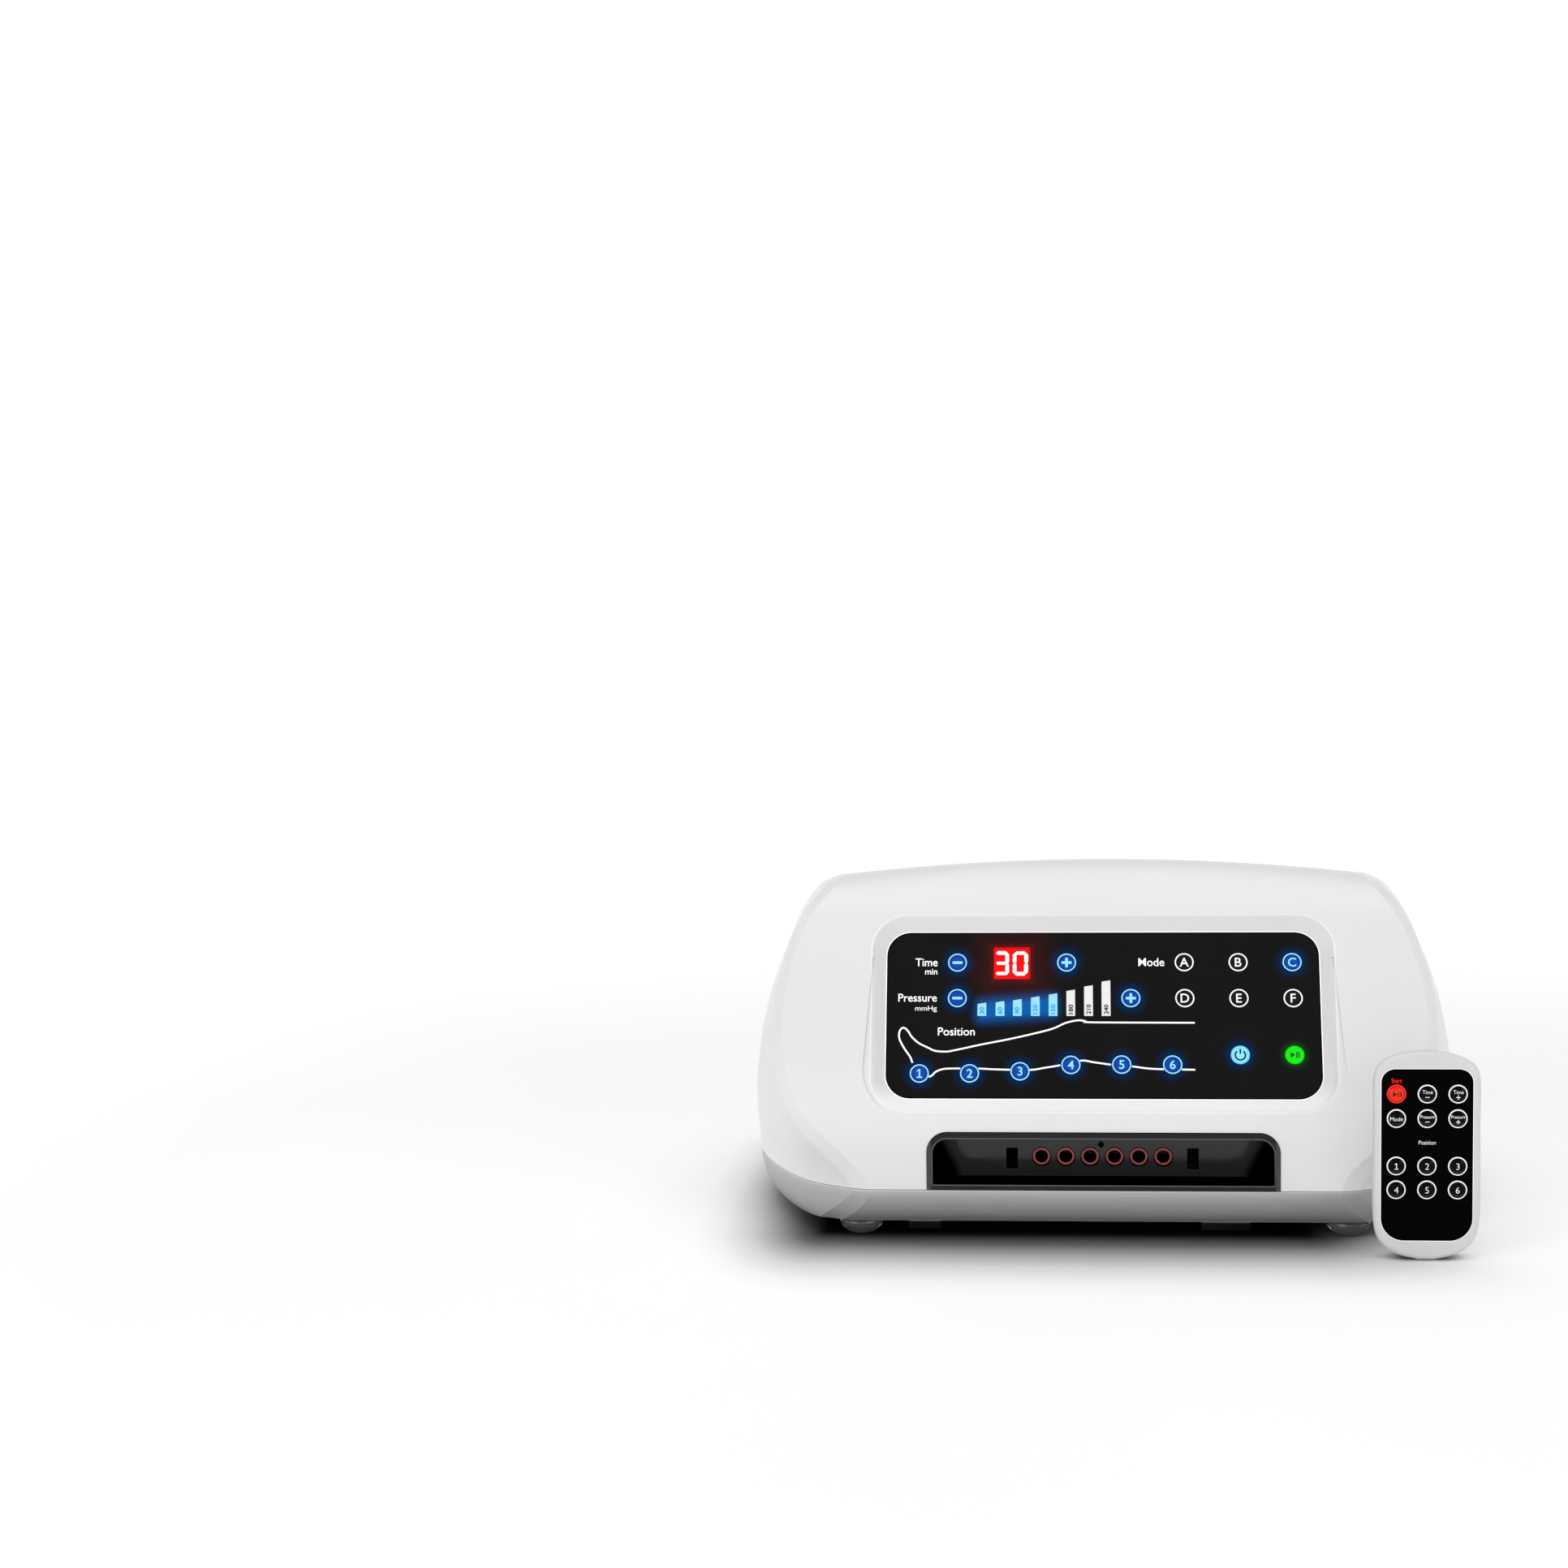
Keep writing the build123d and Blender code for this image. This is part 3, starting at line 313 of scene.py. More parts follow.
class Ink:
    """Flat shapes on a plane, in millimetres, that are then laid on a surface as one thin layer."""

    def __init__(self):
        self.v, self.f = [], []

    def add(self, pts, faces):
        base = len(self.v)
        self.v += [(p[0], p[1]) for p in pts]
        self.f += [tuple(base + i for i in f) for f in faces]
        return self

    def poly(self, pts):
        return self.add(pts, [tuple(range(len(pts)))])

    def ring(self, cx, cy, r0, r1, seg=64, a0=0.0, a1=2 * math.pi):
        closed = abs(a1 - a0 - 2 * math.pi) < 1e-6
        n = seg if closed else seg + 1
        pts = []
        for i in range(n):
            a = a0 + (a1 - a0) * i / seg
            pts += [(cx + r0 * math.cos(a), cy + r0 * math.sin(a)), (cx + r1 * math.cos(a), cy + r1 * math.sin(a))]
        faces = [(2 * i, 2 * i + 1, (2 * i + 3) % (2 * n), (2 * i + 2) % (2 * n)) for i in range(seg)]
        return self.add(pts, faces)

    def disc(self, cx, cy, r, seg=64):
        pts = [(cx, cy)] + [(cx + r * math.cos(2 * math.pi * i / seg), cy + r * math.sin(2 * math.pi * i / seg))
                            for i in range(seg)]
        return self.add(pts, [(0, 1 + i, 1 + (i + 1) % seg) for i in range(seg)])

    def bar(self, cx, cy, w, h, r):
        """A rounded rectangle."""
        pts = []
        for sx, sy, a in ((1, 1, 0.0), (-1, 1, 0.5), (-1, -1, 1.0), (1, -1, 1.5)):
            for k in range(5):
                t = math.pi * (a + 0.5 * k / 4)
                pts.append((cx + sx * (w / 2 - r) + r * math.cos(t), cy + sy * (h / 2 - r) + r * math.sin(t)))
        return self.poly(pts)

    def ribbon(self, pts, width, skip=()):
        """A line of even width, left out where it would run under one of the circles in skip."""
        n = len(pts)
        edge = []
        for i, p in enumerate(pts):
            d = (pts[min(i + 1, n - 1)] - pts[max(i - 1, 0)]).normalized()
            side = Vector((-d.y, d.x)) * width / 2
            edge += [(p.x + side.x, p.y + side.y), (p.x - side.x, p.y - side.y)]
        faces = []
        for i in range(n - 1):
            m = (pts[i] + pts[i + 1]) / 2
            if all((m - Vector(c)).length > r for c, r in skip):
                faces.append((2 * i + 1, 2 * i + 3, 2 * i + 2, 2 * i))
        return self.add(edge, faces)

    def text(self, words, box=None, at=None, height=None, bold=0.02, turn=0.0, widen=1.0, gap=1.0):
        """Words in the plain built-in face, fitted to a box (x0, y0, x1, y1), or centred on a point at a height."""
        c = bpy.data.curves.new("words", "FONT")
        c.body, c.size, c.offset, c.resolution_u, c.space_character = words, 1.0, bold, 5, gap
        o = bpy.data.objects.new("words", c)
        SCENE.collection.objects.link(o)
        bpy.context.view_layer.update()
        me = bpy.data.meshes.new_from_object(o.evaluated_get(bpy.context.evaluated_depsgraph_get()))
        pts = [(v.co.x, v.co.y) for v in me.vertices]
        faces = [tuple(p.vertices) for p in me.polygons]
        bpy.data.objects.remove(o)
        bpy.data.curves.remove(c)
        bpy.data.meshes.remove(me)
        if turn:
            ca, sa = math.cos(turn), math.sin(turn)
            pts = [(x * ca - y * sa, x * sa + y * ca) for x, y in pts]
        x0, x1 = min(p[0] for p in pts), max(p[0] for p in pts)
        y0, y1 = min(p[1] for p in pts), max(p[1] for p in pts)
        if box:
            sx, sy = (box[2] - box[0]) / (x1 - x0), (box[3] - box[1]) / (y1 - y0)
            pts = [(box[0] + (x - x0) * sx, box[1] + (y - y0) * sy) for x, y in pts]
        else:
            s = height / (y1 - y0)
            mx, my = (x0 + x1) / 2, (y0 + y1) / 2
            pts = [(at[0] + (x - mx) * s * widen, at[1] + (y - my) * s) for x, y in pts]
        return self.add(pts, faces)

    def build(self, name, place, graph, body, cut=None):
        """Lay the layer on a surface with place(x, y) and let it ride on a body."""
        bm = bmesh.new()
        vs = [bm.verts.new((x, y, 0)) for x, y in self.v]
        for f in self.f:
            if len(set(f)) > 2:
                try:
                    bm.faces.new([vs[i] for i in f])
                except ValueError:
                    pass
        bmesh.ops.delete(bm, geom=[v for v in bm.verts if not v.link_faces], context="VERTS")
        for f in bm.faces:
            f.normal_update()
            if f.normal.z < 0:
                f.normal_flip()
        if cut:
            xs, ys = [v.co.x for v in bm.verts], [v.co.y for v in bm.verts]
            for axis, lo, hi in ((0, min(xs), max(xs)), (1, min(ys), max(ys))):
                k = math.ceil(lo / cut)
                while k * cut < hi:
                    co = Vector((k * cut, 0, 0)) if axis == 0 else Vector((0, k * cut, 0))
                    no = Vector((1, 0, 0)) if axis == 0 else Vector((0, 1, 0))
                    bmesh.ops.bisect_plane(bm, geom=bm.verts[:] + bm.edges[:] + bm.faces[:], plane_co=co,
                                           plane_no=no, dist=1e-5)
                    k += 1
        for v in bm.verts:
            v.co = place(v.co.x, v.co.y)
        me = bpy.data.meshes.new(name)
        bm.to_mesh(me)
        bm.free()
        me.materials.append(graph.mat)
        ob = bpy.data.objects.new(name, me)
        SCENE.collection.objects.link(ob)
        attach(ob, body)
        return ob


def ink_paint(name, col, rough=0.45, glow=0.0, glow_col=None):
    """Screen-printed ink: slightly uneven cover, optionally glowing: light from behind on the lit keys, the bars and
    the time window, painted light on the white prints, the remote's prints and the edge highlights.
    """
    g = Graph(name)
    n = g.noise(0.9, 3.0, 0.6)
    g.out("Base Color", g.ramp(n, [(0.3, shade(col, 0.93)), (0.7, shade(col, 1.0))]))
    g.set("Roughness", rough)
    g.set("Specular IOR Level", 0.25)
    if glow:
        e = glow_col or col
        g.out("Emission Color", g.ramp(g.noise(2.4, 2.0, 0.5), [(0.3, shade(e, 0.94)), (0.7, e)]))
        g.set("Emission Strength", glow)
    return g


# ---------------------------------------------------------------- housing materials
shell = plastic("shell_white", (0.675, 0.676, 0.678, 1), 0.36, 0.42, cloud=(60, 0.012), grain=(0.35, 0.10, 0.015),
                rvar=0.04, flow=(24, 0.03, 0.05))
tray = plastic("base_grey", (0.30, 0.302, 0.305, 1), 0.46, 0.35, cloud=(40, 0.03), grain=(0.5, 0.22, 0.03), rvar=0.06)
# painted light: the housing's low front takes a little less light, so its stock is painted a shade lighter there, and
# lighter still towards the right end of the low front
_, _, sz = shell.split(shell.local((0, 0, 0)))
sx, sy, _ = shell.split(shell.local((0, 0, 0)))
tone = shell.fit(sz, 20.0, 90.0, 0.0, 1.0)
cloud = shell.noise(60.0, 3.0, 0.55)
low_c = shell.ramp(cloud, [(0.3, (0.750, 0.751, 0.753, 1)), (0.7, (0.766, 0.767, 0.769, 1))])
low_c = shell.mix(shell.fit(sx, 75.0, 112.0, 0.0, 1.0, smooth=True), low_c, (0.90, 0.90, 0.90, 1))
high_c = shell.ramp(cloud, [(0.3, (0.667, 0.668, 0.670, 1)), (0.7, (0.683, 0.684, 0.686, 1))])
stock = shell.mix(tone, low_c, high_c)
# the sides of the recess round the panel stand in half shade; its lower side catches the light
ru, rv, _ = shell.split(shell.local(P_C, (P_TILT, 0, 0)))
rim = rounded(shell, ru, shell.math("SUBTRACT", rv, 0.65), 110.5, 48.75, 17.0)
ahead = shell.fit(sy, -50.0, -45.0, 1.0, 0.0)
inside = shell.math("MULTIPLY", shell.fit(rim, -0.5, 0.1, 1.0, 0.0), ahead)
side = shell.ramp(shell.fit(rv, -52.0, -34.0, 0.0, 1.0), [(0.0, (1.06, 1.06, 1.06, 1)), (0.5, (1.04, 1.04, 1.04, 1)),
                                                        (1.0, (0.875, 0.876, 0.878, 1))])
dim = shell.node("ShaderNodeMix", data_type="RGBA", blend_type="MULTIPLY")
shell.link(inside, dim.inputs[0])
shell.link(stock, dim.inputs[6])
shell.link(side, dim.inputs[7])
# painted highlight: a light line along the recess's outer edge
line = shell.math("MULTIPLY", shell.fit(shell.math("ABSOLUTE", shell.math("SUBTRACT", rim, 0.35)), 0.1, 0.5, 0.55, 0.0), ahead)
shell.out("Base Color", shell.mix(line, dim.outputs[2], (0.86, 0.86, 0.86, 1)))
# painted shade: the tray takes a little less light; its grey darkens towards the bottom and is near black along its
# lowest band, and a painted highlight lightens its top edge
_, _, sz = tray.split(tray.local((0, 0, 0)))
tray_c = tray.ramp(tray.fit(sz, 6.0, 24.0, 0.0, 1.0), [
    (0.0, (0.006, 0.006, 0.006, 1)), (0.04, (0.31, 0.312, 0.315, 1)), (0.5, (0.37, 0.372, 0.375, 1)),
    (0.8, (0.41, 0.412, 0.415, 1)), (0.955, (0.46, 0.462, 0.465, 1)), (1.0, (0.66, 0.662, 0.665, 1))])
tray.out("Base Color", tray.mix(tray.fit(tray.noise(40.0, 3.0), 0.3, 0.7, 0.0, 0.06), tray_c, (0.2, 0.2, 0.2, 1)))
paint("upper_housing", shell)
# painted shade: the lowest band is also made metallic, so that it gives back almost no light and reads black
tray.out("Metallic", tray.fit(sz, 5.6, 6.2, 1.0, 0.0))
paint("base_tray", tray)

g = plastic("foot_clear", (0.90, 0.91, 0.92, 1), 0.07, 0.5, cloud=(6, 0.03), grain=(0.8, 0.03, 0.01), rvar=0.03)
g.set("Transmission Weight", 0.92)
g.set("IOR", 1.47)
paint("feet", g)

zinc = plastic("zinc_steel", (0.60, 0.60, 0.61, 1), 0.32, 0.5, cloud=(3.0, 0.06), grain=(0.3, 0.15, 0.01), rvar=0.08, metal=1.0)
paint("housing_screws", zinc)
paint("valve_motor", zinc)
switch = plastic("switch_black", (0.030, 0.030, 0.031, 1), 0.55, 0.4, cloud=(4, 0.1), grain=(0.4, 0.15, 0.02))
paint("key_switches", switch)


def board(name):
    """Solder mask over etched copper: darker ground and a lattice of lighter tracks."""
    g = Graph(name)
    v = g.obj
    brick = g.node("ShaderNodeTexBrick", offset=0.37, squash=0.7)
    brick.inputs["Scale"].default_value = 90.0
    brick.inputs["Mortar Size"].default_value = 0.06
    brick.inputs["Color1"].default_value = (0.016, 0.130, 0.050, 1)
    brick.inputs["Color2"].default_value = (0.020, 0.155, 0.060, 1)
    brick.inputs["Mortar"].default_value = (0.045, 0.240, 0.100, 1)
    g.link(v, brick.inputs["Vector"])
    cell = g.node("ShaderNodeTexVoronoi", feature="DISTANCE_TO_EDGE")
    cell.inputs["Scale"].default_value = 210.0
    g.link(v, cell.inputs["Vector"])
    track = g.fit(cell.outputs["Distance"], 0.02, 0.05, 1.0, 0.0)
    g.out("Base Color", g.mix(track, brick.outputs["Color"], (0.050, 0.230, 0.095, 1)))
    g.out("Roughness", g.fit(g.noise(2.0), 0.3, 0.7, 0.24, 0.42))
    g.bump((track, 0.35, 0.04), (g.noise(0.4), 0.08, 0.02))
    return g


pcb = board("board_green")
for n in ("control_board", "power_board", "remote_board"):
    paint(n, pcb)

# polished black pocket: the frame and the back wall give back some light, the floor and the two ends none. Painted
# shade: the floor and the two ends are painted black. Painted highlight: the frame's two sides are painted lighter.
# Painted light: the back wall and the back of the floor glow faintly, brighter towards the top
bay = plastic("bay_black", (0.05, 0.05, 0.052, 1), 0.13, 0.5, cloud=(20, 0.12), grain=(0.5, 0.05, 0.01), rvar=0.04, metal=1.0)
bay.set("Specular Tint", (0.0, 0.0, 0.0, 1.0))
bx, by, bz = bay.split(bay.local((BAY_X, BAY_Y, BAY_Z)))
wide = bay.math("SUBTRACT", bay.math("ABSOLUTE", bx), bay.math("MULTIPLY", bz, 0.42))
ends = bay.fit(wide, 65.6, 71.0, 1.0, 0.0, smooth=True)
wall = bay.math("MULTIPLY", bay.fit(by, 7.0, 8.0, 0.0, 1.0), bay.fit(bz, 0.2, 0.3, 0.0, 1.0))
wall = bay.math("MAXIMUM", wall, bay.fit(by, 18.6, 19.2, 0.0, 1.0))
lip = bay.fit(by, 0.3, 0.5, 1.0, 0.0)
deep = bay.math("MULTIPLY", wall, ends)
give = bay.math("MAXIMUM", lip, deep)
grey = bay.ramp(bay.noise(20.0), [(0.3, (0.024, 0.024, 0.025, 1)), (0.7, (0.028, 0.028, 0.029, 1))])
flank = bay.math("MULTIPLY", bay.fit(bay.math("ABSOLUTE", bx), 80.8, 81.6, 0.0, 1.0), lip)
grey = bay.mix(flank, grey, (0.070, 0.070, 0.072, 1))
bay.out("Base Color", bay.mix(give, (0.0, 0.0, 0.0, 1), grey))
bay.out("Emission Color", bay.mix(bay.math("MULTIPLY", deep, bay.fit(bz, 0.0, 16.0, 0.62, 1.0)), (0.0, 0.0, 0.0, 1), (0.0165, 0.0165, 0.017, 1)))
bay.set("Emission Strength", 1.0)
paint("socket_bay", bay)
rear = plastic("rear_black", (0.022, 0.022, 0.023, 1), 0.42, 0.4, cloud=(16, 0.12), grain=(0.45, 0.25, 0.03), rvar=0.06)
paint("rear_plate", rear)
inlet = plastic("inlet_black", (0.016, 0.016, 0.017, 1), 0.34, 0.45, cloud=(8, 0.12), grain=(0.4, 0.12, 0.02), rvar=0.05)
paint("mains_inlet", inlet)
port = plastic("port_black", (0.026, 0.026, 0.027, 1), 0.15, 0.5, cloud=(14, 0.06), grain=(0.5, 0.05, 0.01), rvar=0.04, metal=1.0)
port.set("Specular Tint", (0.0, 0.0, 0.0, 1.0))
# painted light: the front of the port plate glows faintly like the bay's back wall, brighter towards the top
_, fy, fz = port.split(port.local((0, BAY_Y, BAY_Z)))
front_ = port.fit(fy, 28.2, 28.5, 1.0, 0.0)
port.out("Emission Color", port.mix(port.math("MULTIPLY", front_, port.fit(fz, 0.0, 16.0, 0.62, 1.0)), (0.0, 0.0, 0.0, 1), (0.0165, 0.0165, 0.017, 1)))
port.set("Emission Strength", 1.0)
paint("port_plate", port)
ring = plastic("port_ring", srgb(170, 80, 75), 0.38, 0.3, cloud=(4, 0.08), grain=(0.4, 0.08, 0.02), rvar=0.05)
# painted shade: the bore behind the ring's face is painted near black
_, fy, _ = ring.split(ring.local((0, BAY_Y, BAY_Z)))
ring.out("Base Color", ring.mix(ring.fit(fy, 28.9, 29.3, 0.0, 1.0), ring.ramp(ring.noise(4.0), [
    (0.3, srgb(186, 86, 80)), (0.7, srgb(202, 94, 88))]), (0.004, 0.003, 0.003, 1)))
paint("air_sockets", ring)
paint("valve_body", plastic("valve_grey", (0.42, 0.42, 0.43, 1), 0.50, 0.4, cloud=(12, 0.05), grain=(0.5, 0.2, 0.03)))
paint("valve_rotor", plastic("acetal", (0.80, 0.80, 0.77, 1), 0.38, 0.45, cloud=(10, 0.03), grain=(0.5, 0.1, 0.02)))
g = plastic("hose", (0.58, 0.58, 0.55, 1), 0.40, 0.4, cloud=(9, 0.05), grain=(0.8, 0.1, 0.02))
g.set("Subsurface Weight", 0.15)
g.set("Subsurface Radius", (0.002, 0.002, 0.002))
paint("air_hoses", g)
paint("compressor_case", plastic("alloy", (0.66, 0.66, 0.67, 1), 0.42, 0.5, cloud=(5, 0.08), grain=(0.7, 0.5, 0.06),
                                 rvar=0.08, metal=1.0))
paint("compressor_armature", plastic("armature_steel", (0.50, 0.50, 0.51, 1), 0.34, 0.5, cloud=(4, 0.06),
                                     grain=(0.3, 0.3, 0.02), rvar=0.08, metal=1.0, stretch=(1, 1, 14)))
# enamelled wire: fine turns round each bobbin
g = Graph("coil_winding")
wave = g.node("ShaderNodeTexWave", wave_type="BANDS", bands_direction="Z")
wave.inputs["Scale"].default_value = 620.0
wave.inputs["Distortion"].default_value = 0.6
g.link(g.obj, wave.inputs["Vector"])
g.out("Base Color", g.ramp(wave.outputs["Fac"], [(0.1, (0.20, 0.060, 0.020, 1)), (0.8, (0.56, 0.22, 0.090, 1))]))
g.set("Metallic", 0.7)
g.out("Roughness", g.fit(g.noise(1.5), 0.3, 0.7, 0.28, 0.42))
g.bump((wave.outputs["Fac"], 0.5, 0.12))
paint("compressor_coils", g)
rubber = plastic("rubber_black", (0.026, 0.026, 0.027, 1), 0.62, 0.3, cloud=(6, 0.12), grain=(0.6, 0.3, 0.04))
paint("compressor_diaphragms", rubber)
paint("compressor_mounts", rubber)
g = plastic("cell", (0.62, 0.61, 0.58, 1), 0.26, 0.5, cloud=(5, 0.06), grain=(0.5, 0.1, 0.02), metal=1.0)
paint("remote_battery", g)

# ---------------------------------------------------------------- control panel: black film with light behind it
film = Graph("panel_film")
pv = film.local(P_C, (P_TILT, 0, 0))
pu, pvv, pn = film.split(pv)
flat = film.join(pu, pvv, 0.0)


def film_halo(centre, r0, r1, power):
    d = film.vmath("DISTANCE", flat, (centre[0], centre[1], 0.0))
    return film.math("POWER", film.fit(d, r0, r1, 1.0, 0.0), power)


def film_box(cx, cy, hw, hh, fall, power, slant=0.0):
    """Glow that dies away from a rounded box; its top may slope up to the right."""
    x = film.math("SUBTRACT", film.math("ABSOLUTE", film.math("SUBTRACT", pu, cx)), hw)
    vy = pvv
    if slant:
        vy = film.math("SUBTRACT", pvv, film.math("MULTIPLY", film.math("SUBTRACT", pu, cx), slant))
    y = film.math("SUBTRACT", film.math("ABSOLUTE", film.math("SUBTRACT", vy, cy)), hh)
    x = film.math("MAXIMUM", x, 0.0)
    y = film.math("MAXIMUM", y, 0.0)
    d = film.vmath("LENGTH", film.join(x, y, 0.0))
    return film.math("POWER", film.fit(d, 0.0, fall, 1.0, 0.0), power)


blue = None
for key in LIT_BLUE + ["key_power"]:
    h = film_halo(KEYS[key], 5.9, 9.9, 2.0)
    blue = h if blue is None else film.math("MAXIMUM", blue, h)
bars_glow = film_box(-41.0, 3.6, 16.2, 2.6, 8.0, 2.2, slant=0.07)
green = film_halo(KEYS["key_start_pause"], 4.4, 8.0, 1.6)
red_wide = film_box(DISPLAY[0], DISPLAY[1] - 1.0, DISPLAY[2] / 2, DISPLAY[3] / 2 - 1.0, 17.0, 1.5)
red_near = film_box(DISPLAY[0], DISPLAY[1], DISPLAY[2] / 2, DISPLAY[3] / 2, 3.4, 1.4)
red = film.math("ADD", film.math("MULTIPLY", red_wide, 0.034), film.math("MULTIPLY", red_near, 0.055))
bl = film.math("MAXIMUM", film.math("MULTIPLY", blue, 0.062), film.math("MULTIPLY", bars_glow, 0.44))
gr = film.math("MAXIMUM", film.math("MULTIPLY", blue, 0.0150), film.math("MULTIPLY", bars_glow, 0.115))
gr = film.math("ADD", gr, film.math("MULTIPLY", green, 0.055))
film.out("Emission Color", film.rgb(red, gr, bl))
film.set("Emission Strength", 1.0)
# a black border is printed round the edge; the field inside it is a shade lighter
edge = rounded(film, pu, film.math("SUBTRACT", pvv, PANEL_DV), PANEL_W / 2, PANEL_H / 2, PANEL_R)
border = film.fit(edge, -1.0, -0.6, 0.0, 1.0)
ground = film.mix(film.math("MAXIMUM", blue, bars_glow), film.ramp(film.noise(30.0), [
    (0.3, (0.0040, 0.0040, 0.0042, 1)), (0.7, (0.0050, 0.0050, 0.0052, 1))]), (0.0, 0.0, 0.0, 1))
film.out("Base Color", film.mix(border, ground, (0.0008, 0.0008, 0.0008, 1)))
film.out("Roughness", film.fit(film.noise(9.0), 0.3, 0.7, 0.09, 0.13))
film.set("Specular IOR Level", 0.10)
film.bump((film.noise(0.3), 0.03, 0.005))
paint("panel_window", film)


def key_cap(name, centre, stops, rough=0.12):
    """A key's cap: the light behind it is strongest in the middle."""
    g = Graph(name)
    v = g.local(panel(*centre, 0.0), (P_TILT, 0, 0))
    x, y, _ = g.split(v)
    r = g.vmath("LENGTH", g.join(x, y, 0.0))
    wob = g.math("ADD", r, g.math("MULTIPLY", g.math("SUBTRACT", g.noise(2.5), 0.5), 0.3))
    g.out("Base Color", g.ramp(g.noise(4.0), [(0.3, (0.004, 0.004, 0.0045, 1)), (0.7, (0.006, 0.006, 0.0065, 1))]))
    g.out("Emission Color", g.ramp(g.fit(wob, 0.0, 4.55, 0.0, 1.0), stops))
    g.set("Emission Strength", 1.0)
    g.out("Roughness", g.fit(g.noise(3.0), 0.3, 0.7, rough - 0.02, rough + 0.03))
    g.set("Specular IOR Level", 0.14)
    g.bump((g.noise(0.4), 0.03, 0.006))
    return g


BLUE_STOPS = [(0.0, srgb(0, 76, 190)), (0.55, srgb(0, 66, 176)), (0.85, srgb(0, 44, 130)), (1.0, srgb(0, 40, 120))]
DARK_STOPS = [(0.0, srgb(4, 5, 8)), (1.0, srgb(2, 2, 4))]
RING_R = 4.55

glow_blue = ink_paint("lit_ring_blue", (0.05, 0.08, 0.10, 1), 0.3, 1.0, srgb(140, 232, 255))
glow_white = ink_paint("lit_ring_white", (0.30, 0.30, 0.30, 1), 0.3, 0.78, srgb(252, 254, 255))
glow_cyan = ink_paint("lit_disc_cyan", (0.05, 0.08, 0.10, 1), 0.25, 1.0, srgb(150, 236, 255))
glow_green = ink_paint("lit_disc_green", (0.01, 0.05, 0.01, 1), 0.25, 1.0, srgb(0, 242, 0))
ink_navy = ink_paint("ink_navy", srgb(6, 24, 66), 0.4)
ink_dark_green = ink_paint("ink_dark_green", srgb(8, 62, 6), 0.4)
# painted light: the white print glows faintly
ink_white = ink_paint("ink_white", (0.82, 0.82, 0.82, 1), 0.5, 0.28, (0.9, 0.9, 0.9, 1))
ink_black = ink_paint("ink_black", (0.004, 0.004, 0.004, 1), 0.5)
ink_blue = ink_paint("ink_blue", (0.0, 0.02, 0.10, 1), 0.4, 1.0, srgb(0, 165, 255))
digit_white = ink_paint("digit_white", (0.3, 0.3, 0.3, 1), 0.4, 0.8, (1.0, 1.0, 1.0, 1))

GLYPH = {"key_mode_a": "A", "key_mode_b": "B", "key_mode_c": "C", "key_mode_d": "D", "key_mode_e": "E",
         "key_mode_f": "F", "key_chamber_1": "1", "key_chamber_2": "2", "key_chamber_3": "3", "key_chamber_4": "4",
         "key_chamber_5": "5", "key_chamber_6": "6"}



def one(ink, cx, cy, h, t):
    """The figure 1 with a flag and a foot."""
    w = h * 0.29
    x, top, low = cx + h * 0.02, cy + h / 2, cy - h / 2
    ink.poly([(x - t / 2, low + t * 0.85), (x + t / 2, low + t * 0.85), (x + t / 2, top), (x - t / 2, top)])
    ink.poly([(x - t / 2, top), (x - w, top - h * 0.17), (x - w, top - h * 0.17 - t * 0.9), (x - t / 2, top - t * 1.05)])
    ink.poly([(x - w * 1.05, low), (x + w * 1.05, low), (x + w * 1.05, low + t * 0.85), (x - w * 1.05, low + t * 0.85)])


for key, (cu, cv) in KEYS.items():
    ink = Ink()
    if key == "key_power":
        paint(key, key_cap("cap_power", (cu, cv), [(0.0, srgb(150, 238, 255)), (0.9, srgb(132, 232, 255)), (1.0, srgb(60, 150, 220))]))
        gap = math.radians(38)
        ink.ring(cu, cv - 0.15, 2.0, 2.75, 48, math.pi / 2 + gap, math.pi / 2 + 2 * math.pi - gap)
        ink.bar(cu, cv + 1.7, 0.75, 2.5, 0.25)
        ink.build("mark_power", panel, ink_navy, key)
        continue
    if key == "key_start_pause":
        paint(key, key_cap("cap_start", (cu, cv), [(0.0, srgb(0, 246, 0)), (0.9, srgb(0, 240, 0)), (1.0, srgb(0, 150, 0))]))
        ink.poly([(cu - 1.95, cv + 1.5), (cu - 1.95, cv - 1.5), (cu + 0.25, cv)])
        ink.bar(cu + 0.95, cv, 0.62, 3.0, 0.08)
        ink.bar(cu + 2.0, cv, 0.62, 3.0, 0.08)
        ink.build("mark_start_pause", panel, ink_dark_green, key)
        continue
    lit = key in LIT_BLUE
    paint(key, key_cap("cap_" + key[4:], (cu, cv), BLUE_STOPS if lit else DARK_STOPS))
    ink.ring(cu, cv, RING_R - (0.62 if lit else 0.66), RING_R, 72)
    if key in GLYPH:
        digit = GLYPH[key].isdigit()
        if GLYPH[key] == "1":
            one(ink, cu, cv, 4.4, 0.78)
        else:
            ink.text(GLYPH[key], at=(cu, cv), height=4.4 if digit else 4.45, bold=0.014 if digit else 0.010)
    else:
        ink.bar(cu, cv, 4.9, 1.3, 0.35)
        if key.endswith("_up"):
            ink.bar(cu, cv, 1.3, 4.9, 0.35)
    ink.build("mark_" + key[4:], panel, glow_blue if lit else glow_white, key)

# the red time window
g = Graph("display_red")
x, y, _ = g.split(g.local(panel(DISPLAY[0], DISPLAY[1], 0.0), (P_TILT, 0, 0)))
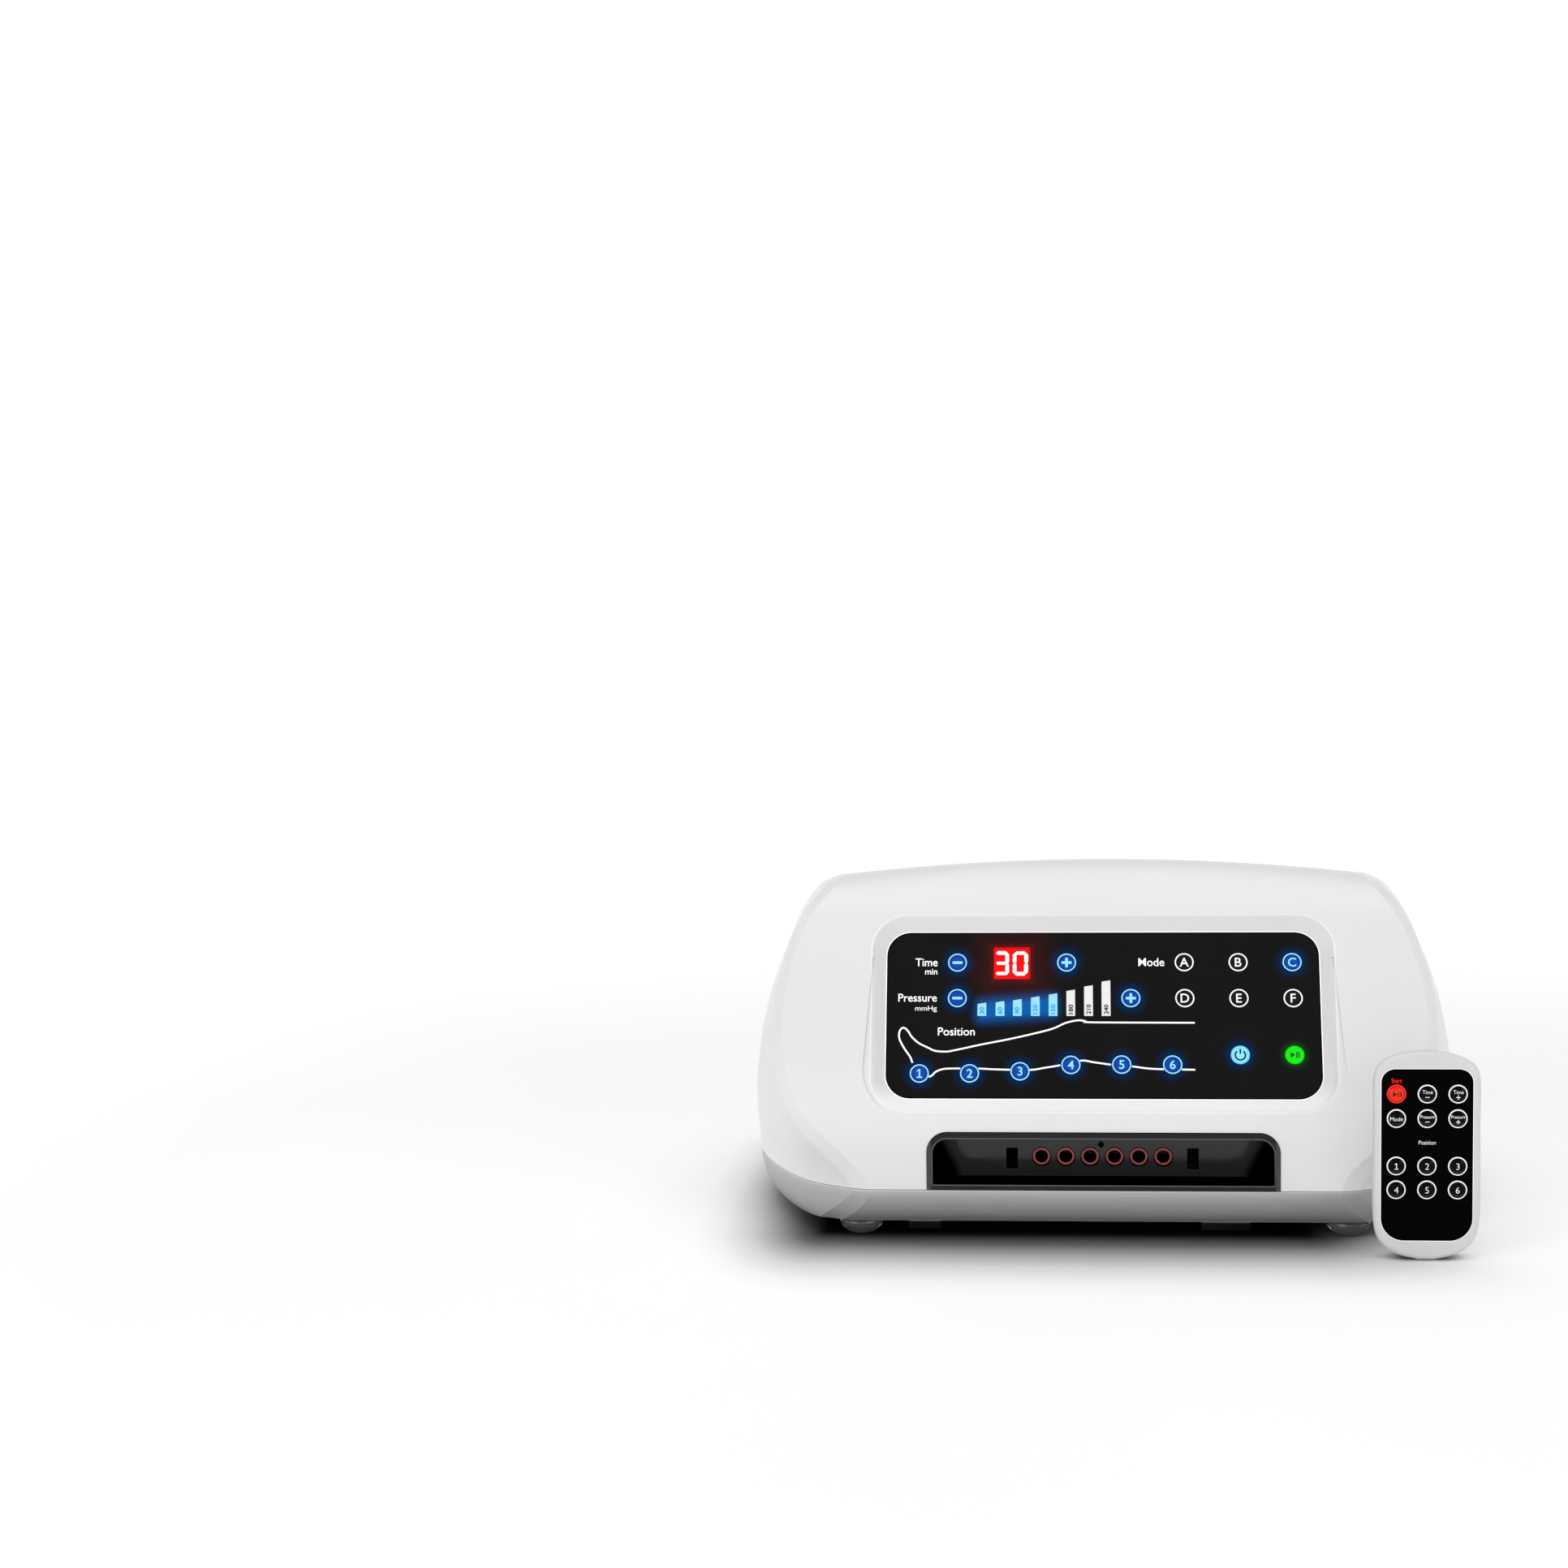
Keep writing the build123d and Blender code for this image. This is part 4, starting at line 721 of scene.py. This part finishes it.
# painted shade: the red is darker along the window's top and right inner edges
rim = g.math("MAXIMUM", g.fit(x, 7.62, 7.8, 0.0, 1.0), g.fit(y, 7.05, 7.25, 0.0, 1.0))
cellv = g.node("ShaderNodeTexVoronoi", feature="F1")
cellv.inputs["Scale"].default_value = 1400.0
g.link(g.obj, cellv.inputs["Vector"])
grain_ = g.fit(cellv.outputs["Distance"], 0.0, 0.8, 1.0, 0.94)
redc = g.mix(rim, (1.0, 0.0, 0.0, 1), (0.47, 0.0, 0.0, 1))
g.out("Emission Color", g.mix(grain_, (0.85, 0.0, 0.0, 1), redc))
g.set("Emission Strength", 1.0)
g.out("Base Color", g.ramp(g.noise(2.0), [(0.3, (0.10, 0, 0, 1)), (0.7, (0.14, 0, 0, 1))]))
g.set("Roughness", 0.25)
g.set("Specular IOR Level", 0.15)
g.bump((cellv.outputs["Distance"], 0.05, 0.02))
paint("time_display", g)

# the pressure scale: five bars lit, three at rest
g = Graph("bar_light")
x, y, _ = g.split(g.local(P_C, (P_TILT, 0, 0)))
rest = g.fit(x, -18.6, -18.4, 0.0, 1.0)
soft = g.noise(3.0, 2.0, 0.5)
lit_c = g.ramp(soft, [(0.3, srgb(150, 226, 255)), (0.7, srgb(164, 234, 255))])
rest_c = g.ramp(soft, [(0.3, srgb(236, 237, 238)), (0.7, srgb(243, 244, 245))])
g.out("Emission Color", g.mix(rest, lit_c, rest_c))
g.set("Emission Strength", 0.97)
g.out("Base Color", g.ramp(soft, [(0.3, (0.02, 0.02, 0.02, 1)), (0.7, (0.03, 0.03, 0.03, 1))]))
g.set("Roughness", 0.3)
g.set("Specular IOR Level", 0.15)
g.bump((soft, 0.03, 0.02))
paint("pressure_bars", g)

# lit figures of the time window: strokes with cut corners, pinched where the two halves meet
FIGURES = [
    [(310, 410), (355, 357), (572, 357), (662, 452), (560, 462), (345, 462)],
    [(662, 452), (662, 668), (636, 700), (560, 655), (560, 462)],
    [(310, 700), (340, 655), (560, 655), (636, 700), (560, 742), (340, 742)],
    [(560, 742), (636, 700), (662, 735), (662, 952), (560, 940)],
    [(560, 940), (662, 952), (590, 1030), (335, 1030), (297, 985), (335, 940)],
    [(762, 462), (870, 365), (1088, 365), (1188, 462), (1082, 462), (866, 462)],
    [(762, 462), (866, 462), (866, 660), (842, 700), (808, 700), (762, 655)],
    [(808, 700), (842, 700), (866, 735), (866, 940), (762, 950), (762, 740)],
    [(762, 950), (866, 940), (1072, 940), (1180, 950), (1078, 1045), (862, 1045)],
    [(1082, 462), (1188, 462), (1188, 655), (1148, 700), (1112, 700), (1080, 655)],
    [(1112, 700), (1148, 700), (1185, 740), (1180, 950), (1072, 940), (1075, 735)],
]
ink = Ink()
for part in FIGURES:
    ink.poly([(-51.95 + (a - 245) / 57.1, 34.6 - (b - 240) / 55.6) for a, b in part])
ink.build("display_figures", panel, digit_white, "console")

# white print on the film
WORDS = [("Time", -89.8, 24.8, -79.1, 28.9), ("min", -85.1, 20.7, -79.2, 23.6), ("Pressure", -97.9, 7.0, -79.35, 11.0),
         ("mmHg", -89.7, 1.7, -79.3, 4.95), ("Position", -78.7, -9.9, -61.0, -5.9), ("Mode", 17.4, 24.8, 29.8, 28.9)]
ink = Ink()
for w, a, b, c, d in WORDS:
    ink.text(w, box=(a, b, c, d), bold=0.002 if w == "mmHg" else 0.010)
LEG_TOP = [(-90.7, -23.5), (-91.9, -20.5), (-94.1, -17.3), (-96.2, -13.7), (-97.3, -10.7), (-97.1, -7.9),
           (-95.9, -6.2), (-94.5, -6.3), (-92.9, -7.9), (-91.1, -10.7), (-87.8, -13.7), (-83.5, -15.9), (-80.1, -17.5), (-75.8, -17.9),
           (-71.8, -17.5), (-57.5, -14.3), (-43.7, -11.5), (-30.3, -8.3), (-23.4, -6.3), (-17.3, -3.5), (-11.7, -2.3),
           (-8.1, -2.7), (-4.2, -3.3), (43.8, -3.5)]
LEG_SOLE = [(-83.3, -30.6), (-81.4, -29.8), (-79.5, -27.9), (-76.5, -26.7), (-72.3, -26.3), (-58.9, -26.3),
            (-50.5, -26.7), (-34.8, -26.9), (-27.9, -25.9), (-19.9, -24.5), (-10.3, -22.3), (-4.2, -23.1),
            (4.2, -24.3), (13.8, -25.1), (24.1, -26.3), (43.6, -26.7)]
holes = [(KEYS["key_chamber_%d" % i], 4.9) for i in range(1, 7)]
for line in (LEG_TOP, LEG_SOLE):
    ink.ribbon(catmull(line, 0.35), 0.84, holes)
ink.build("panel_print", panel, ink_white, "console")

def round_rect(cx, cy, hw, hh, rt, rb):
    """Points round a box whose upper and lower corners have their own radii."""
    pts = []
    for sx, sy, r, a in ((1, 1, rt, 0.0), (-1, 1, rt, 0.5), (-1, -1, rb, 1.0), (1, -1, rb, 1.5)):
        for k in range(15):
            t = math.pi * (a + 0.5 * k / 14)
            pts.append(Vector((cx + sx * (hw - r) + r * math.cos(t), cy + sy * (hh - r) + r * math.sin(t))))
    return pts + pts[:1]


# light caught by the seam round the window
edge_light = ink_paint("edge_light", (0.90, 0.90, 0.90, 1), 0.35, 0.30, (0.9, 0.9, 0.9, 1))
ink = Ink()
ink.ribbon(round_rect(0.0, PANEL_DV, PANEL_W / 2 + 0.15, PANEL_H / 2 + 0.15, PANEL_R + 0.1, PANEL_R + 0.1), 0.42)
ink.build("window_seam_light", lambda a, b: panel(a, b, 0.05), edge_light, "console")

# a painted highlight along the polished inner edge of the bay's mouth: a grey ribbon that glows faintly
def mouth_edge(r):
    w, h = MOUTH_HW + r, MOUTH_H + r
    k = MOUTH_R + r
    pts = [Vector((-w, -r)), Vector((-w, h - k))]
    pts += [Vector((-w + k - k * math.cos(a), h - k + k * math.sin(a))) for a in [math.pi / 2 * i / 14 for i in range(1, 14)]]
    pts += [Vector((-w + k, h)), Vector((w - k, h))]
    pts += [Vector((w - k + k * math.sin(a), h - k + k * math.cos(a))) for a in [math.pi / 2 * i / 14 for i in range(1, 14)]]
    return pts + [Vector((w, h - k)), Vector((w, -r)), Vector((-w, -r))]


g = ink_paint("bay_edge", srgb(66, 67, 69), 0.25, 0.3, srgb(66, 67, 69))
g.set("Specular IOR Level", 0.5)
ink = Ink()
ink.ribbon(mouth_edge(0.35), 0.55)
ink.build("bay_edge", lambda a, b: Vector((a + BAY_X * 1000, BAY_Y * 1000 - 0.54, BAY_Z * 1000 + b)) * 0.001, g, "console")

# numbers that stand on end in the bars
for name, idx, graph in (("scale_lit", range(5), ink_blue), ("scale_rest", range(5, 8), ink_black)):
    ink = Ink()
    for i in idx:
        u, _ = BARS[i]
        s = str(30 * (i + 1))
        length = 4.85 if len(s) == 3 else 3.5
        ink.text(s, box=(u - 1.15, 0.8, u + 1.15, 0.8 + length), bold=0.03, turn=math.pi / 2)
    ink.build(name, lambda a, b: panel(a, b, -0.03), graph, "console")

# ---------------------------------------------------------------- remote control
rshell = plastic("remote_white", (0.585, 0.586, 0.588, 1), 0.40, 0.4, cloud=(30, 0.012), grain=(0.35, 0.10, 0.015), rvar=0.04)
for n in ("remote_front", "remote_back", "remote_battery_cover"):
    paint(n, rshell)
over = plastic("remote_black", (0.0003, 0.0003, 0.0003, 1), 0.16, 0.02, cloud=(20, 0.2), grain=(0.4, 0.03, 0.005), rvar=0.02)
paint("remote_overlay", over)
dome_black = plastic("button_black", (0.0008, 0.0010, 0.0011, 1), 0.12, 0.07, cloud=(3, 0.15), grain=(0.4, 0.02, 0.004), rvar=0.02)
dome_red = plastic("button_red", (0.90, 0.020, 0.002, 1), 0.16, 0.2, cloud=(3, 0.03), grain=(0.4, 0.02, 0.004), rvar=0.02)
R_COLS, R_ROWS = (-13.92, 0.0, 13.92), (77.9, 66.45, 44.3, 33.2)
R_NAMES = [["remote_start_pause", "remote_time_down", "remote_time_up"],
           ["remote_mode", "remote_pressure_down", "remote_pressure_up"],
           ["remote_chamber_1", "remote_chamber_2", "remote_chamber_3"],
           ["remote_chamber_4", "remote_chamber_5", "remote_chamber_6"]]

# painted light: the remote's white and red prints glow faintly
r_white = ink_paint("remote_ink_white", (0.86, 0.86, 0.86, 1), 0.5, 0.22, (0.9, 0.9, 0.9, 1))
r_red = ink_paint("remote_ink_red", srgb(255, 24, 0), 0.5, 0.5, srgb(255, 16, 0))
r_red_ring = ink_paint("remote_ring_red", srgb(255, 38, 8), 0.45, 0.45, srgb(255, 30, 0))
r_dark = ink_paint("remote_ink_dark", srgb(30, 10, 8), 0.5)
r_gleam = ink_paint("dome_gleam", srgb(30, 37, 39), 0.5)
r_gleam.set("Specular IOR Level", 0.05)


def face(x, z, off=0.03):
    return Vector((R_X + x, R_FACE - off, z)) * 0.001


def dome(cx, cz, off=0.03):
    """Puts a flat layer on the dome of the button at (cx, cz)."""
    def place(x, z):
        r2 = (x - cx) ** 2 + (z - cz) ** 2
        return Vector((R_X + x, DOME_C - math.sqrt(max(0.0, DOME_R ** 2 - r2)) - off, z)) * 0.001
    return place


collar = Ink()
collar_red = Ink()
for row, z in zip(R_NAMES, R_ROWS):
    for name, x in zip(row, R_COLS):
        start = name == "remote_start_pause"
        paint(name, dome_red if start else dome_black)
        (collar_red if start else collar).ring(x, z, 4.12, 4.36, 64)
        ink = Ink()
        ink.ring(x, z, 3.80, 4.10, 64)
        tag = name[7:]
        if start:
            ink.build("mark_remote_start_ring", dome(x, z), r_red_ring, name, cut=0.7)
            ink = Ink()
            ink.ring(x, z, 3.42, 3.80, 64)
            ink.poly([(x - 1.75, z + 1.2), (x - 1.75, z - 1.2), (x + 0.3, z)])
            ink.bar(x + 0.85, z, 0.58, 2.5, 0.06)
            ink.bar(x + 1.95, z, 0.58, 2.5, 0.06)
            ink.build("mark_remote_start_pause", dome(x, z), r_dark, name, cut=0.7)
            continue
        if tag.startswith("chamber"):
            if tag[-1] == "1":
                one(ink, x, z, 2.9, 0.34)
            else:
                ink.text(tag[-1], at=(x, z), height=2.9, bold=-0.012)
        elif tag == "mode":
            ink.text("Mode", box=(x - 2.9, z - 1.0, x + 2.9, z + 0.8), bold=-0.008)
        else:
            if tag.startswith("time"):
                ink.text("Time", box=(x - 2.25, z + 0.2, x + 2.4, z + 1.9), bold=-0.010)
            else:
                ink.text("Pressure", box=(x - 3.1, z + 0.25, x + 3.2, z + 1.65), bold=-0.006)
            ink.bar(x, z - 1.4, 2.0, 0.30, 0.06)
            if tag.endswith("up"):
                ink.bar(x, z - 1.4, 0.30, 2.0, 0.06)
        ink.build("mark_remote_" + tag, dome(x, z), r_white, name, cut=0.7)
        # soft reflection low on the dome
        ink = Ink()
        low = [(x + 3.55 * math.cos(t), z + 3.55 * math.sin(t)) for t in [math.radians(188 + 164 * i / 30) for i in range(31)]]
        top = [(x + (2 * i / 30 - 1) * 3.45, z - 0.35 - 1.9 * (1 - (2 * i / 30 - 1) ** 2) ** 0.6) for i in range(31)][::-1]
        ink.poly(low + top)
        ink.build("gleam_remote_" + tag, dome(x, z, 0.012), r_gleam, name, cut=0.7)
collar.text("Position", box=(-3.75, 54.3, 3.95, 56.2), bold=-0.010)
collar.build("remote_print_white", face, r_white, "remote")
ink = Ink()
ink.ribbon(round_rect(0.0, (89.4 + 9.35) / 2, 20.94, (89.4 - 9.35) / 2 + 0.19, 6.4, 10.6), 0.24)
ink.build("film_seam_light", lambda a, b: face(a, b, 0.14), edge_light, "remote")
collar_red.text("Start", box=(-16.2, 83.0, -11.5, 85.1), bold=-0.006)
collar_red.build("remote_print_red", face, r_red, "remote")

# ---------------------------------------------------------------- studio
def lamp(name, at, aim, size, power, col=(1, 1, 1)):
    data = bpy.data.lights.new(name, "AREA")
    data.shape = "RECTANGLE"
    data.size, data.size_y = size
    data.energy = power
    data.color = col
    ob = bpy.data.objects.new(name, data)
    SCENE.collection.objects.link(ob)
    ob.location = at
    ob.rotation_mode = "QUATERNION"
    ob.rotation_quaternion = (Vector(aim) - Vector(at)).to_track_quat("-Z", "Y")
    return ob


lamp("top_box", (0.0, 0.1, 1.9), (0, 0, 0), (2.2, 2.2), 11.0)
lamp("left_box", (-1.7, -2.1, 0.95), (0, 0, 0.06), (1.5, 1.4), 17.0)
lamp("right_box", (1.9, -2.0, 0.95), (0, 0, 0.06), (1.5, 1.4), 12.0)

# a white tent: bright low down, dimmer where the lamps stand, bright overhead
world = bpy.data.worlds.new("studio")
SCENE.world = world
world.use_nodes = True
wt = world.node_tree
bg = next(n for n in wt.nodes if n.type == "BACKGROUND")
wc = wt.nodes.new("ShaderNodeTexCoord")
ws = wt.nodes.new("ShaderNodeSeparateXYZ")
wt.links.new(wc.outputs["Generated"], ws.inputs[0])
wr = wt.nodes.new("ShaderNodeValToRGB")
TENT = [(0.0, 1.0), (0.22, 1.0), (0.38, 0.42), (0.62, 0.42), (0.88, 0.85)]
while len(wr.color_ramp.elements) < len(TENT):
    wr.color_ramp.elements.new(0.5)
for e, (p, k) in zip(wr.color_ramp.elements, TENT):
    e.position, e.color = p, (k, k, k, 1)
wt.links.new(ws.outputs[2], wr.inputs["Fac"])
wt.links.new(wr.outputs["Color"], bg.inputs["Color"])
bg.inputs["Strength"].default_value = 1.1


def studio_floor():
    """A very large white table with a painted shadow under the console and round the remote's foot; from half a metre
    out it glows, more and more up to two metres.
    """
    me = bpy.data.meshes.new("studio_floor")
    n = 96
    v = [(0, 0, 0)] + [(9 * math.cos(2 * math.pi * i / n), 9 * math.sin(2 * math.pi * i / n), 0) for i in range(n)]
    me.from_pydata(v, [], [(0, 1 + i, 1 + (i + 1) % n) for i in range(n)])
    g = Graph("studio_paper")
    x, y, _ = g.split(g.local((0, 0, 0)))

    def past(a, limit, span):
        return g.math("DIVIDE", g.math("MAXIMUM", g.math("SUBTRACT", a, limit), 0.0), span)

    back = g.math("MULTIPLY", y, -1.0)
    left = g.math("MULTIPLY", x, -1.0)
    dx = g.math("ADD", past(left, 133.0, 64.0), past(x, 95.0, 85.0))
    dy = g.math("ADD", past(back, 78.0, 118.0), past(y, 108.0, 60.0))
    d = g.vmath("LENGTH", g.join(dx, dy, 0.0))
    # painted shadow: the floor darkens under and in front of the console, furthest to the front and the left
    k = g.ramp(d, [(0.0, (0, 0, 0, 1)), (0.04, (0.015, 0.015, 0.015, 1)), (0.2, (0.15, 0.15, 0.15, 1)),
                   (0.38, (0.42, 0.42, 0.42, 1)), (0.56, (0.70, 0.70, 0.70, 1)), (0.8, (0.93, 0.93, 0.93, 1)),
                   (1.0, (1, 1, 1, 1))])
    # painted shadow round the remote's foot
    rx = g.math("DIVIDE", g.math("MAXIMUM", g.math("SUBTRACT", g.math("ABSOLUTE", g.math("SUBTRACT", x, R_X)), 7.0), 0.0), 12.0)
    ry = g.math("DIVIDE", g.math("MAXIMUM", g.math("SUBTRACT", g.math("ABSOLUTE", g.math("SUBTRACT", y, -118.5)), 3.5), 0.0), 9.0)
    rk = g.fit(g.vmath("LENGTH", g.join(rx, ry, 0.0)), 0.0, 1.0, 0.22, 1.0, smooth=True)
    paper = g.ramp(g.noise(400.0, 3.0, 0.5), [(0.3, (0.94, 0.94, 0.94, 1)), (0.7, (0.96, 0.96, 0.96, 1))])
    shadow = g.node("ShaderNodeMix", data_type="RGBA", blend_type="MULTIPLY")
    shadow.inputs[0].default_value = 1.0
    g.link(paper, shadow.inputs[6])
    g.link(k, shadow.inputs[7])
    g.out("Base Color", g.mix(rk, (0.02, 0.02, 0.02, 1), shadow.outputs[2]))
    far = g.vmath("LENGTH", g.obj)
    g.out("Emission Color", g.ramp(g.fit(far, 0.5, 2.0, 0.0, 1.0), [(0.0, (0, 0, 0, 1)), (1.0, (0.5, 0.5, 0.5, 1))]))
    g.set("Emission Strength", 1.0)
    g.set("Roughness", 0.85)
    g.set("Specular IOR Level", 0.05)
    me.materials.append(g.mat)
    ob = bpy.data.objects.new("studio_floor", me)
    SCENE.collection.objects.link(ob)


studio_floor()
